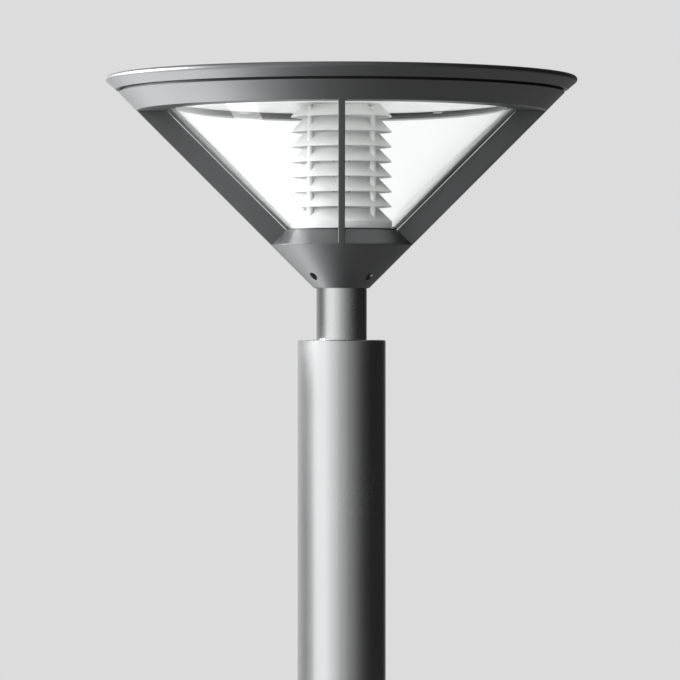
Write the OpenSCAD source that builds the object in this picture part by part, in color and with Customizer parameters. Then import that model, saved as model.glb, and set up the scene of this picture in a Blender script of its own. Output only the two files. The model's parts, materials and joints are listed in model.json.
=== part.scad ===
// Street lamp post: a round steel pole with a service door, and a conical
// luminaire with a glass cone, four ribs, a white louvre and a hinged lid.
// The ground is z = 0, the pole stands on its centre, and the front faces -Y.

/* [Pole] */
// Height of the pole's shoulder above the ground
pole_h = 3500; // [2600:50:4500]
// Outer diameter of the pole tube
pole_d = 133; // [127:1:150]
// Wall of the pole tube
pole_wall = 4; // [3:0.5:5]
// Outer diameter of the spigot that carries the luminaire
spigot_d = 76; // [72:1:80]
// Wall of the spigot
spigot_wall = 4; // [3:0.5:5]
// Length of spigot left bare between the shoulder and the hub
neck_h = 78; // [60:1:110]

/* [Base] */
// Side of the square base plate
plate_w = 400; // [380:10:500]
// Thickness of the base plate
plate_t = 20; // [15:1:30]
// Distance between anchor holes, both ways
anchor_pitch = 300; // [260:10:320]
// Diameter of an anchor hole
anchor_hole_d = 26; // [22:1:34]
// Diameter of the cable entry
cable_entry_d = 90; // [70:5:100]

/* [Service door] */
// Width of the door opening
door_w = 85; // [80:1:92]
// Height of the door opening
door_h = 400; // [380:5:480]
// Height of the opening's centre above the ground
door_z = 700; // [600:10:1200]

/* [Luminaire] */
// Diameter over the lid's lip
head_d = 710; // [600:5:850]
// Diameter of the hub at its crease
hub_d = 213; // [206:1:230]
// Depth of a rib, square to the cone
rib_depth = 32; // [26:1:36]
// Width of a rib
rib_w = 10; // [8:0.5:14]
// Height of the ring that carries the lid
ring_h = 28; // [24:1:36]
// Height of the lid's side, from its seat to its lip
lid_side_h = 15; // [12:0.5:20]
// Rise of the lid's dome
dome_rise = 13; // [8:1:20]
// Thickness of the glass
glass_wall = 5; // [3:0.5:6]

/* [Louvre] */
// Number of louvre rings
louvre_count = 8; // [6:1:8]
// Diameter over a louvre ring's lower edge
louvre_d = 152; // [146:1:153]
// Diameter of a louvre ring's upper edge
louvre_top_d = 114; // [110:1:118]
// Wall of a louvre ring
louvre_wall = 2.2; // [1.6:0.1:3]

/* [Hidden] */
$fn = 96;
weld_gap = 0.1;       // radial room between welded or pressed tubes
seat_gap = 0.1;       // room between two pieces that only touch when squeezed
turn_gap = 0.05;      // radial running clearance
front = -90;          // azimuth that faces the viewer

// Pole
pole_r = pole_d / 2;
bore_r = pole_r - pole_wall;
spigot_r = spigot_d / 2;
spigot_in_r = spigot_r - spigot_wall;
spigot_depth = 120;
cap_t = 12;
pole_chamfer = 1.5;
plate_corner_r = 20;
weld_leg = 8;

// Door
door_gap = 1;
door_corner_r = 20;
door_screw_z = door_h / 2 - 15;
door_screw_r = 4;
door_head_r = 7.5;
door_head_h = 5;
spot_depth = 0.5;
gasket_t = 2;
frame_t = 4.2;
frame_land_r = bore_r - gasket_t - 0.3;   // face that the gasket lies on
frame_in_r = frame_land_r - frame_t;
frame_side = 8;
frame_end = 30;
overlap_w = 12;                            // frame's overlap behind the tube

// Gear inside the pole
bar_w = 50;
bar_t = 3;
bar_y = 26;
bar_z = door_z - 230;
bar_h = 420;
gear_gap = 6;
ballast = [60, 48, 100];
small_h = 70;
can_r = 15;
ignitor_w = 28;
fuse_box = [64, 34, 100];
fuse_box_wall = 2.5;
cover_t = 4;
gland_r = 9;
gland_h = 20;
ballast_z = bar_z + 20;
small_z = ballast_z + ballast.z + gear_gap;
fuse_z = small_z + small_h + gland_h + gear_gap;
cable_r = 5;
cable_y = bar_y - fuse_box.y / 2;

// Cone of the luminaire: 45 degrees, so radius and height grow together
lip_edge = 3.5;
hub_lip_r = spigot_r + lip_edge;
apex_z = neck_h - hub_lip_r;
root2 = sqrt(2);
function cone_r(z) = z - apex_z;
function cone_z(r) = r + apex_z;

// Glass cone inside the ribs
glass_gap = 0.6;
glass_off = (rib_depth + glass_gap) * root2;
function glass_r(z) = cone_r(z) - glass_off;
seal_low_t = 2;
seal_top_t = 1.5;

// Hub
hub_r = hub_d / 2;
crease_z = cone_z(hub_r);
bevel = (glass_off - seal_low_t) / 2 + 0.05;
hub_top_r = hub_r - bevel;
hub_top_z = crease_z + bevel;
hub_bore_r = spigot_r + 0.35;
ledge_z = neck_h + 46;
ledge_r = spigot_in_r - 1;
cavity_z = ledge_z + 6;
cavity_r = hub_r - 31.5;
flange_t = 7;
flange_r = 58;
screw_z = neck_h + 16;
set_screw_r = 4;
set_screw_l = 13;

// Ring and lid
lip_r = head_d / 2;
lip_z = cone_z(lip_r);
nose_r = 5;
seat_z = lip_z - lid_side_h;
seam = 3.5;
ring_top_z = seat_z - seam;
ring_z = ring_top_z - ring_h;
ring_wall = 5;
ring_floor = 8.5;
shelf_z = ring_z + ring_floor;
rib_off = rib_depth * root2;
flange_w = 20;
land_r = cone_r(ring_top_z) - flange_w;
glass_z = hub_top_z + seal_low_t;
glass_top_z = shelf_z - seal_top_t;
lid_wall = 4;
reflector_z = shelf_z + 3;
reflector_t = 1.5;
reflector_r = cone_r(shelf_z) - rib_off - 3.7;
hang_r = reflector_r * 0.75;
hang_post_r = 5;

// Lid's dome is a shallow spherical cap that ends on top of the rounded lip
dome_edge_r = lip_r - nose_r;
dome_r = (pow(dome_edge_r, 2) + pow(dome_rise, 2)) / (2 * dome_rise);
function dome_z(r) = lip_z + nose_r + dome_rise - dome_r + sqrt(pow(dome_r, 2) - pow(r, 2));

// Hinge behind the lip
hinge_y = lip_r + 11;
hinge_z = lip_z - 7.5;
hinge_eye_r = 9;
hinge_pin_r = 4;
lug_half = 10.8;
lug_out = 22;
lug_play = 0.4;

// Captive lid screws
lid_screw_az = [front - 40, front + 40];
lid_screw_pcr = land_r - 8;
lid_screw_r = 3;
lid_head_r = 6.5;
lid_head_h = 5;
boss_r = 9;
lid_head_z = dome_z(lid_screw_pcr) - 5.5;
lid_screw_tip = ring_top_z - 10.5;

// Ribs and their screws
rib_screw_r = 3;
rib_head_r = 5;
rib_head_h = 5;
rib_mid_r = cone_r(ring_z) - rib_depth * root2 / 2;
rib_screw_grip = 16;
rib_chamfer = 1.2;

// Clips that keep the glass down
clip_az = [55, 125, -55, -125];
clip_in = cone_r(shelf_z) - rib_off - 7.5;
clip_l = 27;
clip_w = 16;
clip_t = 2;
clip_screw_r = 2;

// Louvre
louvre_r = louvre_d / 2;
louvre_top_r = louvre_top_d / 2;
louvre_base_h = 13;
louvre_low_z = hub_top_z + louvre_base_h;
louvre_high_z = reflector_z - 19.5;
louvre_pitch = (louvre_high_z - louvre_low_z) / (louvre_count - 1);
louvre_rise = louvre_pitch - 1.7;
louvre_lip = 1.2;
post_r = 4.5;
post_pcr = 66;
post_start = 1;
rod_r = 2.5;
rod_gap = 0.1;
nut_af_r = 4.6;
nut_h = 3.5;
rod_top_z = reflector_z - 2.5;
function tip_z(i) = louvre_high_z - (i - 1) * louvre_pitch;
function post_top(i) = min(tip_z(i) + post_start + louvre_pitch, rod_top_z - nut_h);

// Lamp
holder_z = hub_top_z + louvre_wall;
holder_h = 33;
holder_r = 18;
lamp_z = holder_z + holder_h;
lamp_base_h = 22;
lamp_base_r = 12;
bulb_r = 12.5;
bulb_h = 68;
bulb_wall = 1.2;
pin_r = 1.15;
pin_x = 6;
pin_l = 8;

SIDES = ["right", "back", "left", "front"];

graphite = "#6b6e70";
steel = "#9a9d9f";
white = "#f2f2f0";
black = "#26272a";

// ---------- shared shapes ----------

module at_head() {
    translate([0, 0, pole_h]) children();
}

// Rounded rectangle, centred
module rounded_rect(w, h, r) {
    square([w - 2 * r, h], center = true);
    square([w, h - 2 * r], center = true);
    for (x = [-1, 1], y = [-1, 1])
        translate([x * (w / 2 - r), y * (h / 2 - r)]) circle(r = r);
}

// Prism through the pole's front wall, centred on the door
module door_prism(w, h, r) {
    translate([0, 0, door_z]) rotate([90, 0, 0])
        linear_extrude(pole_r + 20) rounded_rect(w, h, r);
}

// Upright ring between two radii
module pipe(r_in, r_out, z0, z1) {
    rotate_extrude($fn = 180) translate([r_in, z0]) square([r_out - r_in, z1 - z0]);
}

// Curved shell at door height
module door_shell(r_in, r_out) {
    pipe(r_in, r_out, door_z - door_h, door_z + door_h);
}

// Bore along -Y for one door screw
module door_bore(r, dz) {
    translate([0, 0, door_z + dz]) rotate([90, 0, 0]) cylinder(r = r, h = pole_r + 20, $fn = 48);
}

module both_door_bores(r) {
    for (s = [-1, 1]) door_bore(r, s * door_screw_z);
}

// Places children along a rib's own axis: z runs up the rib, -x is its depth
module along_rib(az) {
    rotate([0, 0, az]) translate([hub_r, 0, crease_z]) rotate([0, 45, 0]) children();
}

module socket_head(r, h, socket_r) {
    difference() {
        cylinder(r = r, h = h, $fn = 48);
        translate([0, 0, h - 2.5]) cylinder(r = socket_r, h = 3, $fn = 6);
    }
}

// ---------- pole ----------

module base_plate() color(steel) difference() {
    linear_extrude(plate_t) rounded_rect(plate_w, plate_w, plate_corner_r);
    for (x = [-1, 1], y = [-1, 1])
        translate([x * anchor_pitch / 2, y * anchor_pitch / 2, -1])
            cylinder(d = anchor_hole_d, h = plate_t + 2, $fn = 64);
    translate([0, 0, -1]) cylinder(d = cable_entry_d, h = plate_t + 2);
}

module base_weld() color(steel)
    rotate_extrude($fn = 180)
        polygon([[pole_r, plate_t], [pole_r + weld_leg, plate_t], [pole_r, plate_t + weld_leg]]);

module pole_tube() color(graphite) difference() {
    rotate_extrude($fn = 180)
        polygon([[bore_r, plate_t], [pole_r, plate_t], [pole_r, pole_h - pole_chamfer],
                 [pole_r - pole_chamfer, pole_h], [bore_r, pole_h]]);
    door_prism(door_w, door_h, door_corner_r);
}

module pole_cap() color(graphite) at_head()
    pipe(spigot_r + weld_gap, bore_r - weld_gap, -cap_t, 0);

module spigot() color(graphite) at_head()
    rotate_extrude($fn = 180)
        polygon([[spigot_in_r, -spigot_depth], [spigot_r, -spigot_depth], [spigot_r, ledge_z - 2.1],
                 [spigot_r - 2, ledge_z - seat_gap], [spigot_in_r, ledge_z - seat_gap]]);

module spigot_guide() color(steel) at_head()
    pipe(spigot_r + weld_gap, bore_r - weld_gap, 4 - spigot_depth, 14 - spigot_depth);

// ---------- service door ----------

module door_frame() color(steel) difference() {
    union() {
        intersection() {
            door_shell(frame_in_r, bore_r - weld_gap);
            door_prism(door_w + 2 * overlap_w, door_h + 2 * overlap_w, door_corner_r + overlap_w);
        }
        for (s = [-1, 1])
            translate([0, 4 - frame_in_r, door_z + s * door_screw_z]) rotate([-90, 0, 0])
                translate([0, 0, -6]) cylinder(r = 9, h = 12, $fn = 48);
    }
    intersection() {
        door_shell(frame_land_r, pole_r + 5);
        door_prism(door_w + 0.5, door_h + 0.5, door_corner_r);
    }
    door_prism(door_w - 2 * frame_side, door_h - 2 * frame_end, door_corner_r - frame_side);
    both_door_bores(door_screw_r + 0.5);
}

module door_gasket() color(black) difference() {
    intersection() {
        door_shell(frame_land_r + seat_gap, frame_land_r + gasket_t);
        door_prism(door_w - 2 * door_gap, door_h - 2 * door_gap, door_corner_r - door_gap);
    }
    door_prism(door_w - 2 * frame_side + 2, door_h - 2 * frame_end + 2, door_corner_r - frame_side);
    both_door_bores(door_screw_r + 1);
}

module service_door() color(graphite) difference() {
    intersection() {
        door_shell(bore_r, pole_r);
        door_prism(door_w - 2 * door_gap, door_h - 2 * door_gap, door_corner_r - door_gap);
    }
    both_door_bores(door_screw_r + turn_gap);
    for (s = [-1, 1])
        translate([0, spot_depth - pole_r, door_z + s * door_screw_z]) rotate([90, 0, 0])
            cylinder(r = door_head_r + 1, h = 10, $fn = 48);
}

module door_screw(dz) color(steel)
    translate([0, spot_depth - pole_r - 0.02, door_z + dz]) rotate([90, 0, 0]) difference() {
        union() {
            cylinder(r = door_head_r, h = door_head_h - 1.5, $fn = 64);
            translate([0, 0, door_head_h - 1.5])
                cylinder(r1 = door_head_r, r2 = door_head_r - 1.5, h = 1.5, $fn = 64);
            translate([0, 0, -18]) cylinder(r = door_screw_r, h = 19, $fn = 64);
        }
        translate([0, 0, door_head_h - 3]) cylinder(r = 4, h = 4, $fn = 3);
    }

module door_screw_top() door_screw(door_screw_z);
module door_screw_bottom() door_screw(-door_screw_z);

// ---------- control gear inside the pole ----------

module gear_bar() color(steel) difference() {
    translate([-bar_w / 2, bar_y, bar_z]) cube([bar_w, bar_t, bar_h]);
    translate([0, bar_y - 1, bar_z + 10]) rotate([-90, 0, 0]) cylinder(r = 3, h = bar_t + 2, $fn = 32);
}

module bar_brackets() color(steel) intersection() {
    for (z = [bar_z + 30, bar_z + bar_h - 60])
        translate([-12, bar_y + bar_t, z]) cube([24, pole_r, 30]);
    pipe(0, bore_r - weld_gap, bar_z, bar_z + bar_h);
}

module gear_block(size, x, z) {
    translate([x - size.x / 2, bar_y - size.y, z]) cube(size);
}

module ballast() color("#3a3c40") {
    gear_block([ballast.x, ballast.y, ballast.z - 16], 0, ballast_z + 8);
    gear_block([ballast.x - 14, ballast.y - 10, ballast.z], 0, ballast_z);
}

module ignitor() color("#c9c4b4")
    gear_block([ignitor_w, ignitor_w, small_h], -ignitor_w / 2 - 3, small_z);

module capacitor() color("#d8d8d6")
    translate([can_r + 2, bar_y - can_r, small_z]) {
        cylinder(r = can_r, h = small_h - 8);
        cylinder(r = can_r - 4, h = small_h);
    }

module fuse_box() color("#4a4d50") difference() {
    gear_block(fuse_box, 0, fuse_z);
    translate([fuse_box_wall - fuse_box.x / 2, bar_y - fuse_box.y - 1, fuse_z + fuse_box_wall])
        cube([fuse_box.x - 2 * fuse_box_wall, fuse_box.y + 1 - fuse_box_wall,
              fuse_box.z - 2 * fuse_box_wall]);
    for (z = [fuse_z - 1, fuse_z + fuse_box.z - 5])
        translate([0, cable_y, z]) cylinder(r = cable_r + 0.3, h = 6, $fn = 48);
}

module fuse_box_cover() color("#8f9498") difference() {
    translate([-fuse_box.x / 2, bar_y - fuse_box.y - cover_t, fuse_z])
        cube([fuse_box.x, cover_t, fuse_box.z]);
    for (x = [-1, 1])
        translate([x * (fuse_box.x / 2 - 7), bar_y - fuse_box.y - cover_t - 1, fuse_z + fuse_box.z / 2])
            rotate([-90, 0, 0]) cylinder(r = 3, h = 3, $fn = 32);
}

module fuse_links() color(white)
    for (x = [-14, 14])
        translate([x, bar_y - fuse_box_wall - 6, fuse_z + 30]) {
            cylinder(r = 5, h = 38, $fn = 48);
            translate([-4, 0, 4]) cube([8, 6, 30]);
        }

module box_glands() color(black)
    for (z = [fuse_z - gland_h, fuse_z + fuse_box.z])
        translate([0, cable_y, z]) difference() {
            union() {
                cylinder(r = gland_r, h = gland_h, $fn = 64);
                translate([0, 0, gland_h / 2 - 4]) cylinder(r = gland_r + 2, h = 8, $fn = 6);
            }
            translate([0, 0, -1]) cylinder(r = cable_r + weld_gap, h = gland_h + 2, $fn = 48);
        }

module earth_bolt() color("#b99a4b") {
    translate([0, bar_y + bar_t + 3, bar_z + 10]) rotate([90, 0, 0]) {
        cylinder(r = 5, h = 3, $fn = 6);
        cylinder(r = 3 - turn_gap, h = 26, $fn = 48);
    }
    translate([0, bar_y, bar_z + 10]) rotate([90, 0, 0]) difference() {
        cylinder(r = 6, h = 5, $fn = 6);
        translate([0, 0, -1]) cylinder(r = 3, h = 7, $fn = 48);
    }
}

// Cable from the fuse box up the pole, with one bend into the terminal block
cable_bend = 14;
block_w = 44;
block_depth = 18;
block_h = 25;
plate_z = cavity_z + 2;
block_y = cable_y + cable_bend + 4;
cable_top = plate_z + block_h - 9 - cable_bend;

module lamp_cable() color(black) {
    translate([0, cable_y, fuse_z + fuse_box.z - 4])
        cylinder(r = cable_r, h = pole_h + cable_top - fuse_z - fuse_box.z + 4, $fn = 48);
    at_head() translate([0, cable_y + cable_bend, cable_top]) {
        rotate([90, 0, -90]) rotate_extrude(angle = 90)
            translate([cable_bend, 0]) circle(r = cable_r, $fn = 48);
        translate([0, 0, cable_bend]) rotate([-90, 0, 0]) cylinder(r = cable_r, h = 4, $fn = 48);
    }
}

// ---------- hub ----------

module hub() color(graphite) at_head() difference() {
    rotate_extrude($fn = 180)
        polygon([[hub_bore_r, neck_h], [hub_lip_r - 1, neck_h], [cone_r(neck_h + 1), neck_h + 1],
                 [hub_r, crease_z], [hub_top_r, hub_top_z], [flange_r, hub_top_z],
                 [flange_r, hub_top_z - flange_t], [cavity_r, hub_top_z - flange_t],
                 [cavity_r, cavity_z], [ledge_r, cavity_z], [ledge_r, ledge_z], [hub_bore_r, ledge_z]]);
    for (i = [0:3]) rotate([0, 0, 45 + i * 90]) {
        translate([spigot_in_r, 0, screw_z]) rotate([0, 90, 0])
            cylinder(r = set_screw_r + turn_gap, h = hub_r, $fn = 64);
        translate([post_pcr, 0, hub_top_z - flange_t - 1])
            cylinder(r = rod_r + rod_gap, h = flange_t + 2, $fn = 48);
    }
    for (i = [0:3]) along_rib(i * 90) translate([-rib_depth / 2, 0, 0]) {
        translate([0, 0, -40]) cylinder(r = rib_screw_r + turn_gap, h = 60, $fn = 48);
        translate([0, 0, -44]) cylinder(r = rib_head_r + 0.5, h = 20, $fn = 48);
    }
}

module set_screws() color(steel) at_head()
    for (i = [0:3]) rotate([0, 0, 45 + i * 90]) translate([spigot_r + seat_gap, 0, screw_z])
        rotate([0, 90, 0]) difference() {
            cylinder(r = set_screw_r, h = set_screw_l, $fn = 64);
            translate([0, 0, set_screw_l - 4]) cylinder(r = 2.4, h = 5, $fn = 6);
        }

module gland_plate() color(steel) at_head() difference() {
    translate([0, 0, cavity_z]) cylinder(r = flange_r + 2, h = plate_z - cavity_z);
    translate([0, cable_y, cavity_z - 1]) cylinder(r = gland_r + 0.1, h = 4, $fn = 64);
}

module cable_gland() color(black) at_head() translate([0, cable_y, 0]) difference() {
    union() {
        translate([0, 0, cavity_z - 10]) cylinder(r = gland_r, h = cable_top - cavity_z + 9, $fn = 64);
        translate([0, 0, cavity_z - 5]) cylinder(r = gland_r + 2, h = 5, $fn = 6);
        translate([0, 0, plate_z]) cylinder(r = gland_r + 2, h = 1.5, $fn = 6);
    }
    translate([0, 0, cavity_z - 11]) cylinder(r = cable_r + weld_gap, h = 40, $fn = 48);
}

module terminal_block() color(white) at_head() difference() {
    translate([-block_w / 2, block_y, plate_z]) cube([block_w, block_depth, block_h]);
    for (x = [-14, 0, 14])
        translate([x, block_y + block_depth / 2, plate_z + block_h - 6]) cylinder(r = 3, h = 7, $fn = 32);
}

// ---------- ribs ----------

module rib(i) color(graphite) at_head() {
    length = (cone_r(ring_z) - hub_r) * root2 + rib_depth;
    difference() {
        along_rib(i * 90) linear_extrude(length)
            polygon([[-rib_depth, -rib_w / 2], [-rib_depth, rib_w / 2],
                     [-rib_chamfer, rib_w / 2], [0, rib_w / 2 - rib_chamfer],
                     [0, rib_chamfer - rib_w / 2], [-rib_chamfer, -rib_w / 2]]);
        translate([0, 0, ring_z + lip_r]) cube(2 * lip_r, center = true);
        along_rib(i * 90) translate([-rib_depth / 2, 0, -1])
            cylinder(r = rib_screw_r + turn_gap, h = rib_screw_grip + 2, $fn = 48);
        rotate([0, 0, i * 90]) translate([rib_mid_r, 0, ring_z - rib_screw_grip - 1])
            cylinder(r = rib_screw_r + turn_gap, h = rib_screw_grip + 2, $fn = 48);
    }
}

module rib_screws() color(steel) at_head()
    for (i = [0:3]) {
        rotate([0, 0, i * 90]) translate([rib_mid_r, 0, shelf_z]) {
            translate([0, 0, -ring_floor - rib_screw_grip])
                cylinder(r = rib_screw_r, h = ring_floor + rib_screw_grip + 1, $fn = 48);
            socket_head(rib_head_r, rib_head_h, 2.5);
        }
        along_rib(i * 90) translate([-rib_depth / 2, 0, -24]) {
            rotate([180, 0, 0]) socket_head(rib_head_r, rib_head_h, 2.5);
            cylinder(r = rib_screw_r, h = 24 + rib_screw_grip, $fn = 48);
        }
    }

// ---------- ring ----------

module frame_ring() color(graphite) at_head() difference() {
    union() {
        rotate_extrude($fn = 180)
            polygon([[cone_r(ring_z) - rib_off, ring_z], [cone_r(ring_z), ring_z],
                     [cone_r(ring_top_z), ring_top_z], [land_r, ring_top_z],
                     [land_r, ring_top_z - ring_wall],
                     [cone_r(ring_top_z - ring_wall) - ring_wall * root2, ring_top_z - ring_wall],
                     [cone_r(shelf_z) - ring_wall * root2, shelf_z],
                     [cone_r(shelf_z) - rib_off, shelf_z]]);
        for (az = lid_screw_az)
            rotate([0, 0, az]) translate([lid_screw_pcr, 0, shelf_z - 1])
                cylinder(r = boss_r, h = ring_top_z - shelf_z + 0.5, $fn = 64);
        for (s = [-1, 1]) hinge_lug(s);
    }
    for (az = lid_screw_az)
        rotate([0, 0, az]) translate([lid_screw_pcr, 0, lid_screw_tip - 3])
            cylinder(r = lid_screw_r + 1, h = 30, $fn = 48);
    for (i = [0:3]) rotate([0, 0, i * 90]) translate([rib_mid_r, 0, ring_z - 1])
        cylinder(r = rib_screw_r + turn_gap, h = ring_floor + 2, $fn = 48);
    for (az = clip_az) rotate([0, 0, az]) translate([clip_in + clip_l - 8, 0, ring_z + 1])
        cylinder(r = clip_screw_r + turn_gap, h = ring_floor, $fn = 48);
}

// One of the ring's two hinge ears, bored for the pressed pin
module hinge_lug(side) {
    low_z = ring_z + 12;
    translate([side * (lug_half + lug_play + lug_out) / 2, 0, 0]) rotate([90, 0, 90])
        difference() {
            translate([0, 0, (lug_half + lug_play - lug_out) / 2])
                linear_extrude(lug_out - lug_half - lug_play) {
                    polygon([[cone_r(low_z) - 3, low_z], [cone_r(low_z) + 22, low_z + 2],
                             [hinge_y + 5, hinge_z - 7.4], [hinge_y - 6, hinge_z - 1],
                             [cone_r(ring_top_z - 2) - 3, ring_top_z - 2]]);
                    translate([hinge_y, hinge_z]) circle(r = hinge_eye_r, $fn = 64);
                }
            translate([hinge_y, hinge_z, -30]) cylinder(r = hinge_pin_r + 0.02, h = 60, $fn = 64);
        }
}

module lid_gasket() color(black) at_head()
    pipe(land_r + 3, land_r + 14, ring_top_z, seat_z - seat_gap);

module hinge_pin() color(steel) at_head()
    translate([-lug_out - 3, hinge_y, hinge_z]) rotate([0, 90, 0]) {
        cylinder(r = 6, h = 3 - turn_gap, $fn = 64);
        cylinder(r = hinge_pin_r, h = 2 * lug_out + 7, $fn = 64);
        translate([0, 0, 2 * lug_out + 3 + turn_gap]) cylinder(r = 5.5, h = 1.5, $fn = 64);
    }

// ---------- glass ----------

module glass_cone() color("#dfeff2", 0.3) at_head()
    rotate_extrude($fn = 180)
        polygon([[glass_r(glass_z) - glass_wall * root2, glass_z], [glass_r(glass_z), glass_z],
                 [glass_r(glass_top_z), glass_top_z],
                 [glass_r(glass_top_z) - glass_wall * root2, glass_top_z]]);

module glass_seal_lower() color(black) at_head()
    pipe(glass_r(glass_z) - glass_wall * root2 + 0.2, glass_r(glass_z) - 1.2, hub_top_z, glass_z);

module glass_seal_upper() color(black) at_head()
    pipe(glass_r(glass_top_z) - glass_wall * root2 + 0.2, glass_r(glass_top_z), glass_top_z, shelf_z);

module glass_clips() color(steel) at_head()
    for (az = clip_az) rotate([0, 0, az]) difference() {
        translate([clip_in, -clip_w / 2, shelf_z]) cube([clip_l, clip_w, clip_t]);
        translate([clip_in + clip_l - 8, 0, shelf_z - 1])
            cylinder(r = clip_screw_r + turn_gap, h = clip_t + 2, $fn = 48);
    }

module clip_screws() color(steel) at_head()
    for (az = clip_az) rotate([0, 0, az]) translate([clip_in + clip_l - 8, 0, shelf_z + clip_t]) {
        socket_head(4, 3, 1.6);
        translate([0, 0, -8]) cylinder(r = clip_screw_r, h = 8.2, $fn = 48);
    }

// ---------- louvre ----------

module four_posts(r, z0, z1) {
    for (i = [0:3]) rotate([0, 0, 45 + i * 90]) translate([post_pcr, 0, z0])
        cylinder(r = r, h = z1 - z0, $fn = 48);
}

module louvre_base() color(white) at_head() difference() {
    union() {
        rotate_extrude($fn = 180)
            polygon([[12, hub_top_z], [louvre_r, hub_top_z], [louvre_r, louvre_low_z],
                     [louvre_r - louvre_wall, louvre_low_z],
                     [louvre_r - louvre_wall, holder_z], [12, holder_z]]);
        four_posts(post_r, holder_z - 1, tip_z(louvre_count) + post_start);
    }
    four_posts(rod_r + rod_gap, hub_top_z - 1, louvre_low_z + 5);
}

module louvre_ring(i) color(white) at_head() difference() {
    union() {
        translate([0, 0, tip_z(i)]) rotate_extrude($fn = 180)
            polygon([[louvre_r - louvre_wall, 0], [louvre_r, 0], [louvre_r, louvre_lip],
                     [louvre_top_r, min(louvre_rise, reflector_z - 1 - tip_z(i))],
                     [louvre_top_r - louvre_wall, min(louvre_rise, reflector_z - 1 - tip_z(i))]]);
        four_posts(post_r, tip_z(i) + post_start, post_top(i));
    }
    four_posts(rod_r + rod_gap, tip_z(i) - 1, post_top(i) + 1);
    if (i == 1) four_posts(nut_af_r + 0.3, post_top(i), reflector_z);
}

module tie_rods() color(steel) at_head()
    four_posts(rod_r, hub_top_z - flange_t - nut_h, rod_top_z);

module louvre_nuts() color(steel) at_head() difference() {
    for (i = [0:3], z = [hub_top_z - flange_t - nut_h, rod_top_z - nut_h])
        rotate([0, 0, 45 + i * 90]) translate([post_pcr, 0, z]) cylinder(r = nut_af_r, h = nut_h, $fn = 6);
    four_posts(rod_r + turn_gap, cavity_z, rod_top_z + 1);
}

// ---------- lamp ----------

module lamp_pins(r, l) {
    for (x = [-pin_x, pin_x]) translate([x, 0, -l]) cylinder(r = r, h = l + 0.5, $fn = 32);
}

module lamp_holder() color("#e8e4da") at_head() difference() {
    union() {
        translate([0, 0, holder_z]) cylinder(r = holder_r + 4, h = 6);
        translate([0, 0, holder_z]) cylinder(r = holder_r, h = holder_h);
    }
    translate([0, 0, lamp_z]) lamp_pins(pin_r + turn_gap, pin_l + 2);
    translate([0, 0, holder_z - 1]) cylinder(r = 8, h = 8);
}

module lamp_base() color("#d9d4c6") at_head() translate([0, 0, lamp_z]) {
    cylinder(r = lamp_base_r, h = lamp_base_h);
    lamp_pins(pin_r, pin_l);
}

module lamp_bulb() color("#f4f6f8", 0.4) at_head() translate([0, 0, lamp_z + lamp_base_h])
    rotate_extrude() difference() {
        intersection() {
            union() {
                square([bulb_r, bulb_h - bulb_r]);
                translate([0, bulb_h - bulb_r]) circle(r = bulb_r);
            }
            square([bulb_r + 1, bulb_h + 1]);
        }
        translate([0, -1]) square([bulb_r - bulb_wall, bulb_h - bulb_r + 1]);
        translate([0, bulb_h - bulb_r]) circle(r = bulb_r - bulb_wall);
    }

module arc_tube() color("#fff6df") at_head() translate([0, 0, lamp_z + lamp_base_h]) {
    cylinder(r = 1.2, h = bulb_h - bulb_r, $fn = 32);
    translate([0, 0, 20]) cylinder(r = 4.5, h = 22, $fn = 64);
    translate([0, 0, 14]) cylinder(r1 = 2, r2 = 4.5, h = 6, $fn = 64);
    translate([0, 0, 42]) cylinder(r1 = 4.5, r2 = 2, h = 6, $fn = 64);
}

// ---------- lid ----------

// Points on an arc about (x, z)
function arc(x, z, r, a0, a1, n) =
    [for (k = [0:n]) let (a = a0 + (a1 - a0) * k / n) [x + r * cos(a), z + r * sin(a)]];

module lid_profile() {
    foot_r = cone_r(seat_z);
    nose_x = lip_r - nose_r;
    reach = norm([nose_x - foot_r, lip_z - seat_z]);
    slope = atan2(lip_z - seat_z, nose_x - foot_r) - asin(nose_r / reach);
    polygon(concat(
        [[0, dome_z(0) - lid_wall]],
        [for (k = [1:8]) let (r = (lip_r - 13) * k / 8) [r, dome_z(r) - lid_wall]],
        [[lip_r - 13, lip_z - 2], [foot_r - 4, seat_z + ring_wall], [land_r + 2, seat_z + ring_wall],
         [land_r + 2, seat_z], [foot_r, seat_z]],
        arc(nose_x, lip_z, nose_r, slope - 90, 85, 16),
        [for (k = [11:-1:0]) let (r = (nose_x - 4) * k / 11) [r, dome_z(r)]]));
}

module lid() color(graphite) at_head() difference() {
    union() {
        rotate_extrude($fn = 180) lid_profile();
        for (az = lid_screw_az)
            rotate([0, 0, az]) translate([lid_screw_pcr, 0, seat_z - 2])
                cylinder(r = boss_r, h = dome_z(lid_screw_pcr + boss_r) - seat_z + 1, $fn = 64);
        rotate([90, 0, 90]) translate([0, 0, -lug_half]) linear_extrude(2 * lug_half) {
            polygon([[lip_r - 9, lip_z - 7], [hinge_y, hinge_z - hinge_eye_r],
                     [hinge_y + 4, hinge_z + 7.9], [lip_r - 9, lip_z + 3]]);
            translate([hinge_y, hinge_z]) circle(r = hinge_eye_r, $fn = 64);
        }
    }
    translate([-lug_out, hinge_y, hinge_z]) rotate([0, 90, 0])
        cylinder(r = hinge_pin_r + turn_gap, h = 2 * lug_out, $fn = 64);
    for (az = lid_screw_az) rotate([0, 0, az]) translate([lid_screw_pcr, 0, 0]) {
        translate([0, 0, seat_z - 5]) cylinder(r = lid_screw_r + turn_gap, h = 40, $fn = 48);
        translate([0, 0, lid_head_z]) cylinder(r = lid_head_r + 0.5, h = 20, $fn = 48);
    }
}

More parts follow.
